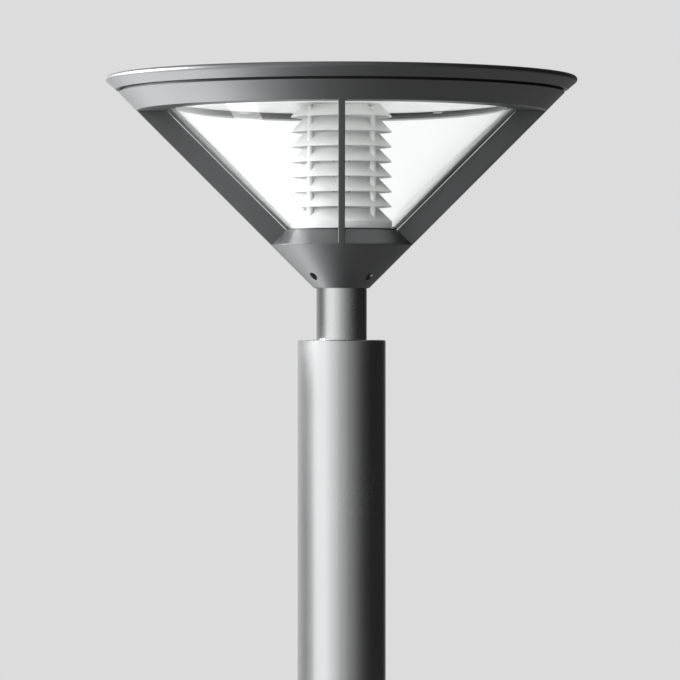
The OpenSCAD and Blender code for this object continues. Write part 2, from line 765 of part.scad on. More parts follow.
module reflector() color(white) at_head()
    rotate_extrude($fn = 180)
        polygon([[0, reflector_z], [reflector_r, reflector_z], [reflector_r, reflector_z + 7],
                 [reflector_r - reflector_t, reflector_z + 7],
                 [reflector_r - reflector_t, reflector_z + reflector_t], [0, reflector_z + reflector_t]]);

module reflector_posts() color(steel) at_head()
    for (i = [0:3]) rotate([0, 0, 45 + i * 90]) translate([hang_r, 0, reflector_z + reflector_t])
        cylinder(r = hang_post_r, $fn = 48,
                 h = dome_z(hang_r + hang_post_r) - lid_wall - seat_gap - reflector_z - reflector_t);

module lid_screw(az) color(steel) at_head()
    rotate([0, 0, az]) translate([lid_screw_pcr, 0, lid_head_z + 0.02]) {
        socket_head(lid_head_r, lid_head_h, 3);
        translate([0, 0, lid_screw_tip - lid_head_z]) cylinder(r = lid_screw_r, $fn = 48,
            h = lid_head_z - lid_screw_tip + 0.5);
    }

module lid_screw_left() lid_screw(lid_screw_az[0]);
module lid_screw_right() lid_screw(lid_screw_az[1]);

base_plate();
base_weld();
pole_tube();
pole_cap();
spigot();
spigot_guide();
door_frame();
door_gasket();
service_door();
door_screw_top();
door_screw_bottom();
gear_bar();
bar_brackets();
ballast();
ignitor();
capacitor();
fuse_box();
fuse_box_cover();
fuse_links();
box_glands();
earth_bolt();
lamp_cable();
hub();
set_screws();
gland_plate();
cable_gland();
terminal_block();
for (i = [0:3]) rib(i);
rib_screws();
frame_ring();
glass_cone();
glass_seal_lower();
glass_seal_upper();
glass_clips();
clip_screws();
louvre_base();
for (i = [1:louvre_count]) louvre_ring(i);
tie_rods();
louvre_nuts();
lamp_holder();
lamp_base();
lamp_bulb();
arc_tube();
lid_gasket();
hinge_pin();
lid();
reflector();
reflector_posts();
lid_screw_left();
lid_screw_right();
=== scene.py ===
import json
import math

import bmesh
import bpy
from mathutils import Matrix, Vector


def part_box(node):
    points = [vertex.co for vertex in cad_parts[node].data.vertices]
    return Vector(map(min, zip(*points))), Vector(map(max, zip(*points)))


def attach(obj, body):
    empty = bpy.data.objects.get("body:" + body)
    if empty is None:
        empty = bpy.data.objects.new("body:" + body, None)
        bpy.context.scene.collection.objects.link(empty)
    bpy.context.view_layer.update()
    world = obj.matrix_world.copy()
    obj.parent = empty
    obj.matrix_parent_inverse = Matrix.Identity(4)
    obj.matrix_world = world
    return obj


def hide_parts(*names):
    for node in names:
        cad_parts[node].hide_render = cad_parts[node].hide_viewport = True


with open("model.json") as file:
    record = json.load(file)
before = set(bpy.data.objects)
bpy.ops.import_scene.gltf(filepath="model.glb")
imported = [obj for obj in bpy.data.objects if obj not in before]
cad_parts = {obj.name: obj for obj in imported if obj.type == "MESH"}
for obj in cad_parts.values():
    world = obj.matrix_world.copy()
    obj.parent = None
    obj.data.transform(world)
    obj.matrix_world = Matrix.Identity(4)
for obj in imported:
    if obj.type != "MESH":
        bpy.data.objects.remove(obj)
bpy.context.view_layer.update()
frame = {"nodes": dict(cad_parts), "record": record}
print("frame loaded")

nodes = frame["nodes"]
record = frame["record"]
mm = 0.001
slotOf = {s["node"]: s["material_slot"] for s in record["subparts"]}
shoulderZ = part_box("pole_tube")[1].z    # the luminaire's heights are counted from here, the pole's shoulder


# small helpers for node trees

def addNode(tree, kind, at=(0, 0), **settings):
    node = tree.nodes.new(kind)
    node.location = at
    for key, value in settings.items():
        setattr(node, key, value)
    return node


def link(tree, source, target):
    tree.links.new(source, target)


def mathNode(tree, operation, a, b=None, at=(0, 0), clamp=False):
    node = addNode(tree, "ShaderNodeMath", at, operation=operation, use_clamp=clamp)
    for socket, value in zip(node.inputs, (a, b)):
        if value is None:
            continue
        if isinstance(value, (int, float)):
            socket.default_value = value
        else:
            link(tree, value, socket)
    return node.outputs[0]


def mixColour(tree, factor, a, b, at=(0, 0), blend="MIX"):
    node = addNode(tree, "ShaderNodeMix", at, data_type="RGBA", blend_type=blend)
    for socket, value in ((node.inputs[0], factor), (node.inputs[6], a), (node.inputs[7], b)):
        if isinstance(value, (int, float)):
            socket.default_value = value
        elif isinstance(value, tuple):
            socket.default_value = (*value, 1)
        else:
            link(tree, value, socket)
    return node.outputs[2]


def newGroup(name, inputs, outputs):
    # a shader group with its sockets, and its input and output nodes
    group = bpy.data.node_groups.new(name, "ShaderNodeTree")
    for label, kind, value in inputs:
        socket = group.interface.new_socket(label, in_out="INPUT", socket_type=kind)
        socket.default_value = value
    for label, kind in outputs:
        group.interface.new_socket(label, in_out="OUTPUT", socket_type=kind)
    given = addNode(group, "NodeGroupInput", (-900, 0))
    out = addNode(group, "NodeGroupOutput", (900, 0))
    return group, given, out


# shader groups that several finishes share

def makeFineGrain():
    # speckle and orange peel of a powder coat, also the tooth of moulded plastic
    group, given, out = newGroup(
        "fineGrain",
        [("Colour", "NodeSocketColor", (0.5, 0.5, 0.5, 1)), ("Colour Spread", "NodeSocketFloat", 0.1),
         ("Roughness", "NodeSocketFloat", 0.5), ("Roughness Spread", "NodeSocketFloat", 0.05),
         ("Grain Size", "NodeSocketFloat", 0.8)],
        [("Colour", "NodeSocketColor"), ("Roughness", "NodeSocketFloat"), ("Height", "NodeSocketFloat")])
    place = addNode(group, "ShaderNodeTexCoord", (-900, -300))
    scale = mathNode(group, "DIVIDE", 1000.0, given.outputs["Grain Size"], (-700, -420))
    grain = addNode(group, "ShaderNodeTexNoise", (-500, -200))
    grain.inputs["Detail"].default_value = 2.0
    link(group, place.outputs["Object"], grain.inputs["Vector"])
    link(group, scale, grain.inputs["Scale"])
    flakes = addNode(group, "ShaderNodeTexVoronoi", (-500, -500))
    link(group, place.outputs["Object"], flakes.inputs["Vector"])
    link(group, scale, flakes.inputs["Scale"])
    cloud = addNode(group, "ShaderNodeTexNoise", (-500, 100))
    cloud.inputs["Scale"].default_value = 9.0
    cloud.inputs["Detail"].default_value = 3.0
    link(group, place.outputs["Object"], cloud.inputs["Vector"])
    speck = mathNode(group, "SUBTRACT", grain.outputs["Fac"], 0.5, (-300, -200))
    flake = mathNode(group, "SUBTRACT", flakes.outputs["Color"], 0.5, (-300, -420))
    mixed = mathNode(group, "ADD", speck, mathNode(group, "MULTIPLY", flake, 0.5, (-150, -420)), (0, -300))
    spread = mathNode(group, "MULTIPLY", mixed, given.outputs["Colour Spread"], (150, -200))
    slow = mathNode(group, "SUBTRACT", cloud.outputs["Fac"], 0.5, (-300, 100))
    slowSpread = mathNode(group, "MULTIPLY", slow, given.outputs["Colour Spread"], (0, 100))
    gain = mathNode(group, "ADD", mathNode(group, "ADD", spread, slowSpread, (300, 0)), 1.0, (450, 0))
    tint = addNode(group, "ShaderNodeVectorMath", (600, 100), operation="SCALE")
    link(group, given.outputs["Colour"], tint.inputs[0])
    link(group, gain, tint.inputs["Scale"])
    link(group, tint.outputs[0], out.inputs["Colour"])
    rough = mathNode(group, "MULTIPLY", mathNode(group, "ADD", mixed, slow, (300, -300)),
                     given.outputs["Roughness Spread"], (450, -300))
    link(group, mathNode(group, "ADD", rough, given.outputs["Roughness"], (600, -300), clamp=True),
         out.inputs["Roughness"])
    link(group, mathNode(group, "ADD", grain.outputs["Fac"],
                         mathNode(group, "MULTIPLY", flakes.outputs["Distance"], 0.4, (300, -500)),
                         (600, -500)), out.inputs["Height"])
    return group


def makeSettledDust():
    # thin dust on faces that look up, and splashed dirt near the ground
    group, given, out = newGroup(
        "settledDust",
        [("Colour", "NodeSocketColor", (0.5, 0.5, 0.5, 1)), ("Roughness", "NodeSocketFloat", 0.5),
         ("Dust Colour", "NodeSocketColor", (0.42, 0.4, 0.37, 1)), ("Top Dust", "NodeSocketFloat", 0.2),
         ("Splash", "NodeSocketFloat", 0.3), ("Splash Height", "NodeSocketFloat", 0.35)],
        [("Colour", "NodeSocketColor"), ("Roughness", "NodeSocketFloat")])
    place = addNode(group, "ShaderNodeTexCoord", (-900, -300))
    facing = addNode(group, "ShaderNodeSeparateXYZ", (-700, -100))
    link(group, place.outputs["Normal"], facing.inputs[0])
    height = addNode(group, "ShaderNodeSeparateXYZ", (-700, -400))
    link(group, place.outputs["Object"], height.inputs[0])
    patch = addNode(group, "ShaderNodeTexNoise", (-700, -600))
    patch.inputs["Scale"].default_value = 14.0
    patch.inputs["Detail"].default_value = 6.0
    link(group, place.outputs["Object"], patch.inputs["Vector"])
    upward = mathNode(group, "MAXIMUM", facing.outputs[2], 0.0, (-500, -100))
    level = mathNode(group, "POWER", upward, 3.0, (-350, -100))
    patchy = mathNode(group, "MULTIPLY", level, patch.outputs["Fac"], (-200, -100))
    onTop = mathNode(group, "MULTIPLY", patchy, given.outputs["Top Dust"], (-50, -100))
    low = mathNode(group, "SUBTRACT", 1.0,
                   mathNode(group, "DIVIDE", height.outputs[2], given.outputs["Splash Height"], (-500, -400)),
                   (-350, -400), clamp=True)
    lowMask = mathNode(group, "MULTIPLY", mathNode(group, "MULTIPLY", low, low, (-200, -400)),
                       mathNode(group, "MULTIPLY", patch.outputs["Fac"], given.outputs["Splash"],
                                (-200, -600)), (-50, -400))
    mask = mathNode(group, "ADD", onTop, lowMask, (150, -200), clamp=True)
    link(group, mixColour(group, mask, given.outputs["Colour"], given.outputs["Dust Colour"], (400, 100)),
         out.inputs["Colour"])
    dull = mathNode(group, "MULTIPLY", mask, 0.5, (400, -200))
    link(group, mathNode(group, "ADD", given.outputs["Roughness"], dull, (600, -200), clamp=True),
         out.inputs["Roughness"])
    return group


def makeBrushedLines():
    # drawn or turned metal: lines that run across one axis
    group, given, out = newGroup(
        "brushedLines",
        [("Colour", "NodeSocketColor", (0.5, 0.5, 0.5, 1)), ("Roughness", "NodeSocketFloat", 0.3),
         ("Spread", "NodeSocketFloat", 0.15), ("Stretch", "NodeSocketVector", (60, 60, 1800))],
        [("Colour", "NodeSocketColor"), ("Roughness", "NodeSocketFloat"), ("Height", "NodeSocketFloat")])
    place = addNode(group, "ShaderNodeTexCoord", (-900, -300))
    stretch = addNode(group, "ShaderNodeVectorMath", (-700, -300), operation="MULTIPLY")
    link(group, place.outputs["Object"], stretch.inputs[0])
    link(group, given.outputs["Stretch"], stretch.inputs[1])
    lines = addNode(group, "ShaderNodeTexNoise", (-500, -300))
    lines.inputs["Scale"].default_value = 1.0
    lines.inputs["Detail"].default_value = 4.0
    link(group, stretch.outputs[0], lines.inputs["Vector"])
    offset = mathNode(group, "MULTIPLY", mathNode(group, "SUBTRACT", lines.outputs["Fac"], 0.5, (-300, -300)),
                      given.outputs["Spread"], (-100, -300))
    tint = addNode(group, "ShaderNodeVectorMath", (300, 100), operation="SCALE")
    link(group, given.outputs["Colour"], tint.inputs[0])
    link(group, mathNode(group, "ADD", offset, 1.0, (100, 0)), tint.inputs["Scale"])
    link(group, tint.outputs[0], out.inputs["Colour"])
    link(group, mathNode(group, "ADD", offset, given.outputs["Roughness"], (300, -300), clamp=True),
         out.inputs["Roughness"])
    link(group, lines.outputs["Fac"], out.inputs["Height"])
    return group


fineGrain = makeFineGrain()
settledDust = makeSettledDust()
brushedLines = makeBrushedLines()


def useGroup(tree, group, at, **values):
    node = addNode(tree, "ShaderNodeGroup", at)
    node.node_tree = group
    for key, value in values.items():
        socket = node.inputs[key.replace("_", " ")]
        socket.default_value = (*value, 1) if socket.type == "RGBA" else value
    return node


def newFinish(name, **plain):
    material = bpy.data.materials.new(name)
    material.use_nodes = True
    tree = material.node_tree
    shader = tree.nodes["Principled BSDF"]
    for key, value in plain.items():
        shader.inputs[key.replace("_", " ")].default_value = value
    return material, tree, shader


def bumpFrom(tree, shader, height, distance, strength=1.0):
    bump = addNode(tree, "ShaderNodeBump", (-200, -400))
    bump.inputs["Distance"].default_value = distance
    bump.inputs["Strength"].default_value = strength
    link(tree, height, bump.inputs["Height"])
    link(tree, bump.outputs[0], shader.inputs["Normal"])


def makeCoat(name, coat):
    material, tree, shader = newFinish(name, Metallic=coat["metallic"], Specular_IOR_Level=coat["specular"])
    grain = useGroup(tree, fineGrain, (-800, 0), Colour=coat["colour"], Colour_Spread=coat["spread"],
                     Roughness=coat["roughness"], Roughness_Spread=0.1, Grain_Size=coat["grain"])
    dust = useGroup(tree, settledDust, (-500, 0), Top_Dust=coat["topDust"], Splash=coat["splash"])
    link(tree, grain.outputs["Colour"], dust.inputs["Colour"])
    link(tree, grain.outputs["Roughness"], dust.inputs["Roughness"])
    link(tree, dust.outputs["Colour"], shader.inputs["Base Color"])
    link(tree, dust.outputs["Roughness"], shader.inputs["Roughness"])
    bumpFrom(tree, shader, grain.outputs["Height"], coat["peel"])
    return material


def makeMetal(name, metal):
    material, tree, shader = newFinish(name, Metallic=1.0)
    lines = useGroup(tree, brushedLines, (-500, 0), Colour=metal["colour"], Roughness=metal["roughness"],
                     Spread=metal["spread"], Stretch=metal["stretch"])
    link(tree, lines.outputs["Colour"], shader.inputs["Base Color"])
    link(tree, lines.outputs["Roughness"], shader.inputs["Roughness"])
    bumpFrom(tree, shader, lines.outputs["Height"], metal["depth"])
    return material


def makeGalvanised(name, zinc):
    # spangle of cooled zinc, as large flat crystals
    material, tree, shader = newFinish(name, Metallic=0.85)
    place = addNode(tree, "ShaderNodeTexCoord", (-1100, 0))
    spangle = addNode(tree, "ShaderNodeTexVoronoi", (-900, 0))
    spangle.inputs["Scale"].default_value = zinc["scale"]
    link(tree, place.outputs["Object"], spangle.inputs["Vector"])
    ramp = addNode(tree, "ShaderNodeValToRGB", (-700, 0))
    ramp.color_ramp.elements[0].color = (*zinc["dark"], 1)
    ramp.color_ramp.elements[1].color = (*zinc["light"], 1)
    link(tree, spangle.outputs["Color"], ramp.inputs[0])
    grain = useGroup(tree, fineGrain, (-400, 0), Colour_Spread=0.1, Roughness=zinc["roughness"],
                     Roughness_Spread=0.2, Grain_Size=2.0)
    link(tree, ramp.outputs[0], grain.inputs["Colour"])
    link(tree, grain.outputs["Colour"], shader.inputs["Base Color"])
    link(tree, grain.outputs["Roughness"], shader.inputs["Roughness"])
    bumpFrom(tree, shader, grain.outputs["Height"], 0.00004)
    return material


def makeMoulded(name, plastic):
    material, tree, shader = newFinish(name, Specular_IOR_Level=plastic["specular"])
    grain = useGroup(tree, fineGrain, (-500, 0), Colour=plastic["colour"], Colour_Spread=plastic["spread"],
                     Roughness=plastic["roughness"], Roughness_Spread=0.12, Grain_Size=plastic["grain"])
    link(tree, grain.outputs["Colour"], shader.inputs["Base Color"])
    link(tree, grain.outputs["Roughness"], shader.inputs["Roughness"])
    bumpFrom(tree, shader, grain.outputs["Height"], plastic["tooth"])
    return material


def makeLouvreWhite(name, white):
    # matt white with faint turned lines round each ring
    material, tree, shader = newFinish(name, Specular_IOR_Level=0.35)
    place = addNode(tree, "ShaderNodeTexCoord", (-1100, 0))
    height = addNode(tree, "ShaderNodeSeparateXYZ", (-900, 0))
    link(tree, place.outputs["Object"], height.inputs[0])
    wave = mathNode(tree, "SINE", mathNode(tree, "MULTIPLY", height.outputs[2],
                                           2 * math.pi / white["linePitch"], (-750, 0)), None, (-600, 0))
    grain = useGroup(tree, fineGrain, (-500, -200), Colour=white["colour"], Colour_Spread=white["spread"],
                     Roughness=white["roughness"], Roughness_Spread=0.1, Grain_Size=0.6)
    line = mathNode(tree, "MULTIPLY", mathNode(tree, "ADD", wave, 1.0, (-450, 0)), white["lineDepth"],
                    (-300, 0))
    link(tree, mixColour(tree, line, grain.outputs["Colour"], white["lineColour"], (-150, 100)),
         shader.inputs["Base Color"])
    link(tree, grain.outputs["Roughness"], shader.inputs["Roughness"])
    bumpFrom(tree, shader, mathNode(tree, "ADD", wave, grain.outputs["Height"], (-300, -300)), 0.00002)
    return material


def makeClearGlass(name, glass):
    # light that only passes through on its way to a surface isn't held up by the glass
    material, tree, shader = newFinish(name, IOR=glass["ior"], Transmission_Weight=1.0)
    shader.inputs["Base Color"].default_value = (*glass["colour"], 1)
    place = addNode(tree, "ShaderNodeTexCoord", (-900, 0))
    smear = addNode(tree, "ShaderNodeTexNoise", (-700, 0))
    smear.inputs["Scale"].default_value = glass["smearScale"]
    smear.inputs["Detail"].default_value = 5.0
    link(tree, place.outputs["Object"], smear.inputs["Vector"])
    link(tree, mathNode(tree, "MULTIPLY", smear.outputs["Fac"], glass["haze"], (-400, 0)),
         shader.inputs["Roughness"])
    clear = addNode(tree, "ShaderNodeBsdfTransparent", (0, -300))
    clear.inputs[0].default_value = (*glass["shadow"], 1)
    path = addNode(tree, "ShaderNodeLightPath", (0, 300))
    mix = addNode(tree, "ShaderNodeMixShader", (300, 0))
    link(tree, path.outputs["Is Shadow Ray"], mix.inputs[0])
    link(tree, shader.outputs[0], mix.inputs[1])
    link(tree, clear.outputs[0], mix.inputs[2])
    link(tree, mix.outputs[0], tree.nodes["Material Output"].inputs["Surface"])
    return material


finishes = {
    "pole_coat": makeCoat("poleCoat", {
        "colour": (0.60, 0.605, 0.61), "metallic": 0.92, "specular": 0.5, "roughness": 0.23,
        "spread": 0.04, "grain": 0.9, "peel": 0.00003, "topDust": 0.10, "splash": 0.45}),
    "head_coat": makeCoat("headCoat", {
        "colour": (0.138, 0.14, 0.143), "metallic": 0.82, "specular": 0.5, "roughness": 0.42,
        "spread": 0.22, "grain": 0.9, "peel": 0.00005, "topDust": 0.18, "splash": 0.0}),
    "base_coat": makeCoat("baseCoat", {
        "colour": (0.46, 0.465, 0.47), "metallic": 0.85, "specular": 0.5, "roughness": 0.36,
        "spread": 0.1, "grain": 1.0, "peel": 0.00005, "topDust": 0.3, "splash": 0.5}),
    "galvanised": makeGalvanised("galvanised", {
        "scale": 110.0, "dark": (0.36, 0.37, 0.38), "light": (0.62, 0.63, 0.64), "roughness": 0.42}),
    "stainless": makeMetal("stainless", {
        "colour": (0.60, 0.59, 0.57), "roughness": 0.27, "spread": 0.16,
        "stretch": (900, 900, 900), "depth": 0.00001}),
    "brass": makeMetal("brass", {
        "colour": (0.72, 0.55, 0.27), "roughness": 0.30, "spread": 0.2,
        "stretch": (700, 2400, 700), "depth": 0.00001}),
    "capacitor_can": makeMetal("capacitorCan", {
        "colour": (0.78, 0.78, 0.78), "roughness": 0.33, "spread": 0.14,
        "stretch": (300, 300, 2600), "depth": 0.00001}),
    "seal": makeMoulded("seal", {
        "colour": (0.022, 0.022, 0.024), "spread": 0.3, "roughness": 0.62, "grain": 0.5,
        "tooth": 0.00003, "specular": 0.4}),
    "gland_black": makeMoulded("glandBlack", {
        "colour": (0.035, 0.035, 0.038), "spread": 0.25, "roughness": 0.5, "grain": 0.5,
        "tooth": 0.00002, "specular": 0.5}),
    "cable_black": makeMoulded("cableBlack", {
        "colour": (0.025, 0.025, 0.027), "spread": 0.25, "roughness": 0.42, "grain": 1.5,
        "tooth": 0.00002, "specular": 0.5}),
    "clear_glass": makeClearGlass("clearGlass", {
        "colour": (0.985, 0.995, 0.992), "ior": 1.45, "haze": 0.015, "smearScale": 6.0,
        "shadow": (0.93, 0.94, 0.94)}),
    "lamp_glass": makeClearGlass("lampGlass", {
        "colour": (0.99, 0.99, 0.99), "ior": 1.45, "haze": 0.01, "smearScale": 40.0,
        "shadow": (0.95, 0.95, 0.95)}),
    "louvre_white": makeLouvreWhite("louvreWhite", {
        "colour": (0.69, 0.69, 0.685), "spread": 0.03, "roughness": 0.5, "linePitch": 2.6 * mm,
        "lineDepth": 0.05, "lineColour": (0.58, 0.58, 0.58)}),
    "reflector_white": makeMoulded("reflectorWhite", {
        "colour": (0.88, 0.88, 0.87), "spread": 0.03, "roughness": 0.4, "grain": 1.4,
        "tooth": 0.00003, "specular": 0.5}),
    "arc_ceramic": makeMoulded("arcCeramic", {
        "colour": (0.86, 0.82, 0.74), "spread": 0.08, "roughness": 0.55, "grain": 0.7,
        "tooth": 0.00002, "specular": 0.4}),
    "lamp_ceramic": makeMoulded("lampCeramic", {
        "colour": (0.80, 0.78, 0.73), "spread": 0.08, "roughness": 0.7, "grain": 0.9,
        "tooth": 0.00005, "specular": 0.3}),
    "terminal_white": makeMoulded("terminalWhite", {
        "colour": (0.78, 0.78, 0.76), "spread": 0.06, "roughness": 0.45, "grain": 0.6,
        "tooth": 0.00002, "specular": 0.5}),
    "ballast_paint": makeMoulded("ballastPaint", {
        "colour": (0.045, 0.046, 0.05), "spread": 0.3, "roughness": 0.38, "grain": 1.6,
        "tooth": 0.00008, "specular": 0.5}),
    "ignitor_resin": makeMoulded("ignitorResin", {
        "colour": (0.52, 0.49, 0.41), "spread": 0.12, "roughness": 0.5, "grain": 0.8,
        "tooth": 0.00003, "specular": 0.5}),
    "box_black": makeMoulded("boxBlack", {
        "colour": (0.06, 0.063, 0.068), "spread": 0.2, "roughness": 0.5, "grain": 0.5,
        "tooth": 0.00003, "specular": 0.5}),
    "cover_grey": makeMoulded("coverGrey", {
        "colour": (0.27, 0.29, 0.30), "spread": 0.12, "roughness": 0.46, "grain": 0.5,
        "tooth": 0.00003, "specular": 0.5}),
}
print("finishes made:", len(finishes))


# tools for building meshes, all sizes in millimetres until closeMesh makes them metres

meshing = {"sharpFrom": math.radians(33), "bevelFrom": math.radians(20), "mergeGap": 0.0005,
           "onAxis": 0.000001}
segments = {"wide": 256, "louvre": 192, "round": 48, "screwHole": 40, "post": 32, "eye": 32}


def objectFrom(name, mesh):
    obj = bpy.data.objects.new(name, mesh)
    bpy.context.scene.collection.objects.link(obj)
    return obj


def closeMesh(name, work):
    # finishes a bmesh: merged, faces outward, smooth with sharp creases, in metres
    bmesh.ops.remove_doubles(work, verts=work.verts, dist=meshing["mergeGap"])
    bmesh.ops.recalc_face_normals(work, faces=work.faces)
    bmesh.ops.scale(work, vec=(mm, mm, mm), verts=work.verts)
    mesh = bpy.data.meshes.new(name)
    work.to_mesh(mesh)
    work.free()
    smoothShade(mesh)
    return mesh


def smoothShade(mesh):
    mesh.shade_smooth()
    mesh.set_sharp_from_angle(angle=meshing["sharpFrom"])


def roundCorners(points, steps=3):
    # points are (r, z, corner radius); a corner of radius 0 stays sharp
    out = []
    count = len(points)
    for k in range(count):
        here = Vector(points[k][:2])
        radius = points[k][2] if len(points[k]) > 2 else 0
        before = Vector(points[k - 1][:2]) - here
        after = Vector(points[(k + 1) % count][:2]) - here
        if radius <= 0:
            out.append((here.x, here.y))
            continue
        turn = before.angle(after)
        reach = min(radius / math.tan(turn / 2), before.length * 0.45, after.length * 0.45)
        first = here + before.normalized() * reach
        last = here + after.normalized() * reach
        for j in range(steps + 1):
            t = j / steps
            spot = first * (1 - t) ** 2 + here * 2 * t * (1 - t) + last * t ** 2
            out.append((spot.x, spot.y))
    return out


def lathe(work, profile, sides=segments["wide"], lift=0.0, closed=True):
    # turns a profile round Z; points on the axis become one vertex
    rings = []
    for r, z in profile:
        if r < meshing["onAxis"]:
            rings.append([work.verts.new((0, 0, z + lift))])
            continue
        rings.append([work.verts.new((r * math.cos(a), r * math.sin(a), z + lift))
                      for a in ((k + 0.5) * 2 * math.pi / sides for k in range(sides))])
    pairs = list(zip(rings, rings[1:]))
    if closed:
        pairs.append((rings[-1], rings[0]))
    for low, high in pairs:
        if len(low) == 1 and len(high) == 1:
            continue
        for k in range(sides):
            n = (k + 1) % sides
            if len(low) == 1:
                work.faces.new((low[0], high[n], high[k]))
            elif len(high) == 1:
                work.faces.new((low[k], low[n], high[0]))
            else:
                work.faces.new((low[k], low[n], high[n], high[k]))


def rodProfile(r, z0, z1, edge):
    return roundCorners([(0, z0), (r, z0, edge), (r, z1, edge), (0, z1)], 2)


def addRod(work, r, z0, z1, edge, sides, place):
    # a round rod with softened ends, moved by the matrix place
    part = bmesh.new()
    lathe(part, rodProfile(r, z0, z1, edge), sides, closed=False)
    addMoved(work, part, place)


def addMoved(work, part, place):
    bmesh.ops.transform(part, matrix=place, verts=part.verts)
    held = bpy.data.meshes.new("held")
    part.to_mesh(held)
    part.free()
    work.from_mesh(held)
    bpy.data.meshes.remove(held)


def addPrism(work, outline, low, high, edge, place, edgeSteps=2):
    # an outline in XY pushed from low to high, with all its edges softened
    part = bmesh.new()
    bottom = [part.verts.new((x, y, low)) for x, y in outline]
    top = [part.verts.new((x, y, high)) for x, y in outline]
    part.faces.new(bottom[::-1])
    part.faces.new(top)
    for k in range(len(outline)):
        n = (k + 1) % len(outline)
        part.faces.new((bottom[k], bottom[n], top[n], top[k]))
    if edge > 0:
        sharp = [e for e in part.edges if e.calc_face_angle(0) > meshing["bevelFrom"]]
        bmesh.ops.bevel(part, geom=sharp, offset=edge, segments=edgeSteps, profile=0.5, affect="EDGES",
                        clamp_overlap=True)
    addMoved(work, part, place)


def turned(degrees, r=0.0, z=0.0):
    # at radius r and height z, round the axis by an angle
    return Matrix.Rotation(math.radians(degrees), 4, "Z") @ Matrix.Translation((r, 0, z))


def polygonOutline(corners, across, start=0.0):
    # a regular polygon by its corner radius
    return [(across * math.cos(start + k * 2 * math.pi / corners),
             across * math.sin(start + k * 2 * math.pi / corners)) for k in range(corners)]


def carve(mesh, joins=(), cuts=()):
    # joins and cuts whole solids, and gives back a plain mesh
    obj = objectFrom("carving", mesh)
    helpers = []
    for kind, builders in (("UNION", joins), ("DIFFERENCE", cuts)):
        if not builders:
            continue
        work = bmesh.new()
        for build in builders:
            build(work)
        helper = objectFrom("helper", closeMesh("helper", work))
        helpers.append(helper)
        step = obj.modifiers.new(kind, "BOOLEAN")
        step.operation = kind
        step.solver = "EXACT"
        step.object = helper
    bpy.context.view_layer.update()
    out = bpy.data.meshes.new_from_object(obj.evaluated_get(bpy.context.evaluated_depsgraph_get()))
    name = mesh.name
    for old in [obj] + helpers:
        data = old.data
        bpy.data.objects.remove(old)
        bpy.data.meshes.remove(data)
    out.name = name
    smoothShade(out)
    return out


# node groups for what repeats

def newRepeater(name, numbers):
    group = bpy.data.node_groups.new(name, "GeometryNodeTree")
    group.interface.new_socket("Geometry", in_out="INPUT", socket_type="NodeSocketGeometry")
    for label, kind in numbers:
        group.interface.new_socket(label, in_out="INPUT", socket_type=kind)
    group.interface.new_socket("Material", in_out="INPUT", socket_type="NodeSocketMaterial")
    group.interface.new_socket("Geometry", in_out="OUTPUT", socket_type="NodeSocketGeometry")
    given = addNode(group, "NodeGroupInput", (-900, 0))
    out = addNode(group, "NodeGroupOutput", (900, 0))
    line = addNode(group, "GeometryNodeMeshLine", (-600, 200))
    copies = addNode(group, "GeometryNodeInstanceOnPoints", (100, 0))
    real = addNode(group, "GeometryNodeRealizeInstances", (350, 0))
    coat = addNode(group, "GeometryNodeSetMaterial", (600, 0))
    link(group, given.outputs["Count"], line.inputs["Count"])
    link(group, line.outputs[0], copies.inputs["Points"])
    link(group, given.outputs["Geometry"], copies.inputs["Instance"])
    link(group, copies.outputs[0], real.inputs[0])
    link(group, real.outputs[0], coat.inputs["Geometry"])
    link(group, given.outputs["Material"], coat.inputs["Material"])
    link(group, coat.outputs[0], out.inputs[0])
    return group, given, line, copies


def makeAroundAxis():
    # copies turned evenly round the upright axis
    group, given, line, copies = newRepeater(
        "aroundAxis", [("Count", "NodeSocketInt"), ("Start Angle", "NodeSocketFloat")])
    line.inputs["Offset"].default_value = (0, 0, 0)
    index = addNode(group, "GeometryNodeInputIndex", (-900, -300))
    share = mathNode(group, "DIVIDE", index.outputs[0], given.outputs["Count"], (-700, -300))
    turn = mathNode(group, "ADD", mathNode(group, "MULTIPLY", share, 2 * math.pi, (-500, -300)),
                    given.outputs["Start Angle"], (-350, -300))
    angles = addNode(group, "ShaderNodeCombineXYZ", (-200, -300))
    link(group, turn, angles.inputs[2])
    toRotation = addNode(group, "FunctionNodeEulerToRotation", (-50, -300))
    link(group, angles.outputs[0], toRotation.inputs[0])
    link(group, toRotation.outputs[0], copies.inputs["Rotation"])
    return group


def makeUpTheStack():
    # copies set one above the other
    group, given, line, copies = newRepeater(
        "upTheStack", [("Count", "NodeSocketInt"), ("Pitch", "NodeSocketFloat")])
    step = addNode(group, "ShaderNodeCombineXYZ", (-750, -100))
    link(group, given.outputs["Pitch"], step.inputs[2])
    link(group, step.outputs[0], line.inputs["Offset"])
    return group


aroundAxis = makeAroundAxis()
upTheStack = makeUpTheStack()


def repeated(name, mesh, group, slotName, **values):
    # runs a repeater over a mesh and gives back one plain mesh
    obj = objectFrom(name + "Seed", mesh)
    step = obj.modifiers.new(name, "NODES")
    step.node_group = group
    values["Material"] = finishes[slotName]
    for item in group.interface.items_tree:
        if item.in_out == "INPUT" and item.name.replace(" ", "_") in values:
            step[item.identifier] = values[item.name.replace(" ", "_")]
    bpy.context.view_layer.update()
    out = bpy.data.meshes.new_from_object(obj.evaluated_get(bpy.context.evaluated_depsgraph_get()))
    bpy.data.objects.remove(obj)
    bpy.data.meshes.remove(mesh)
    out.name = name
    smoothShade(out)
    return out


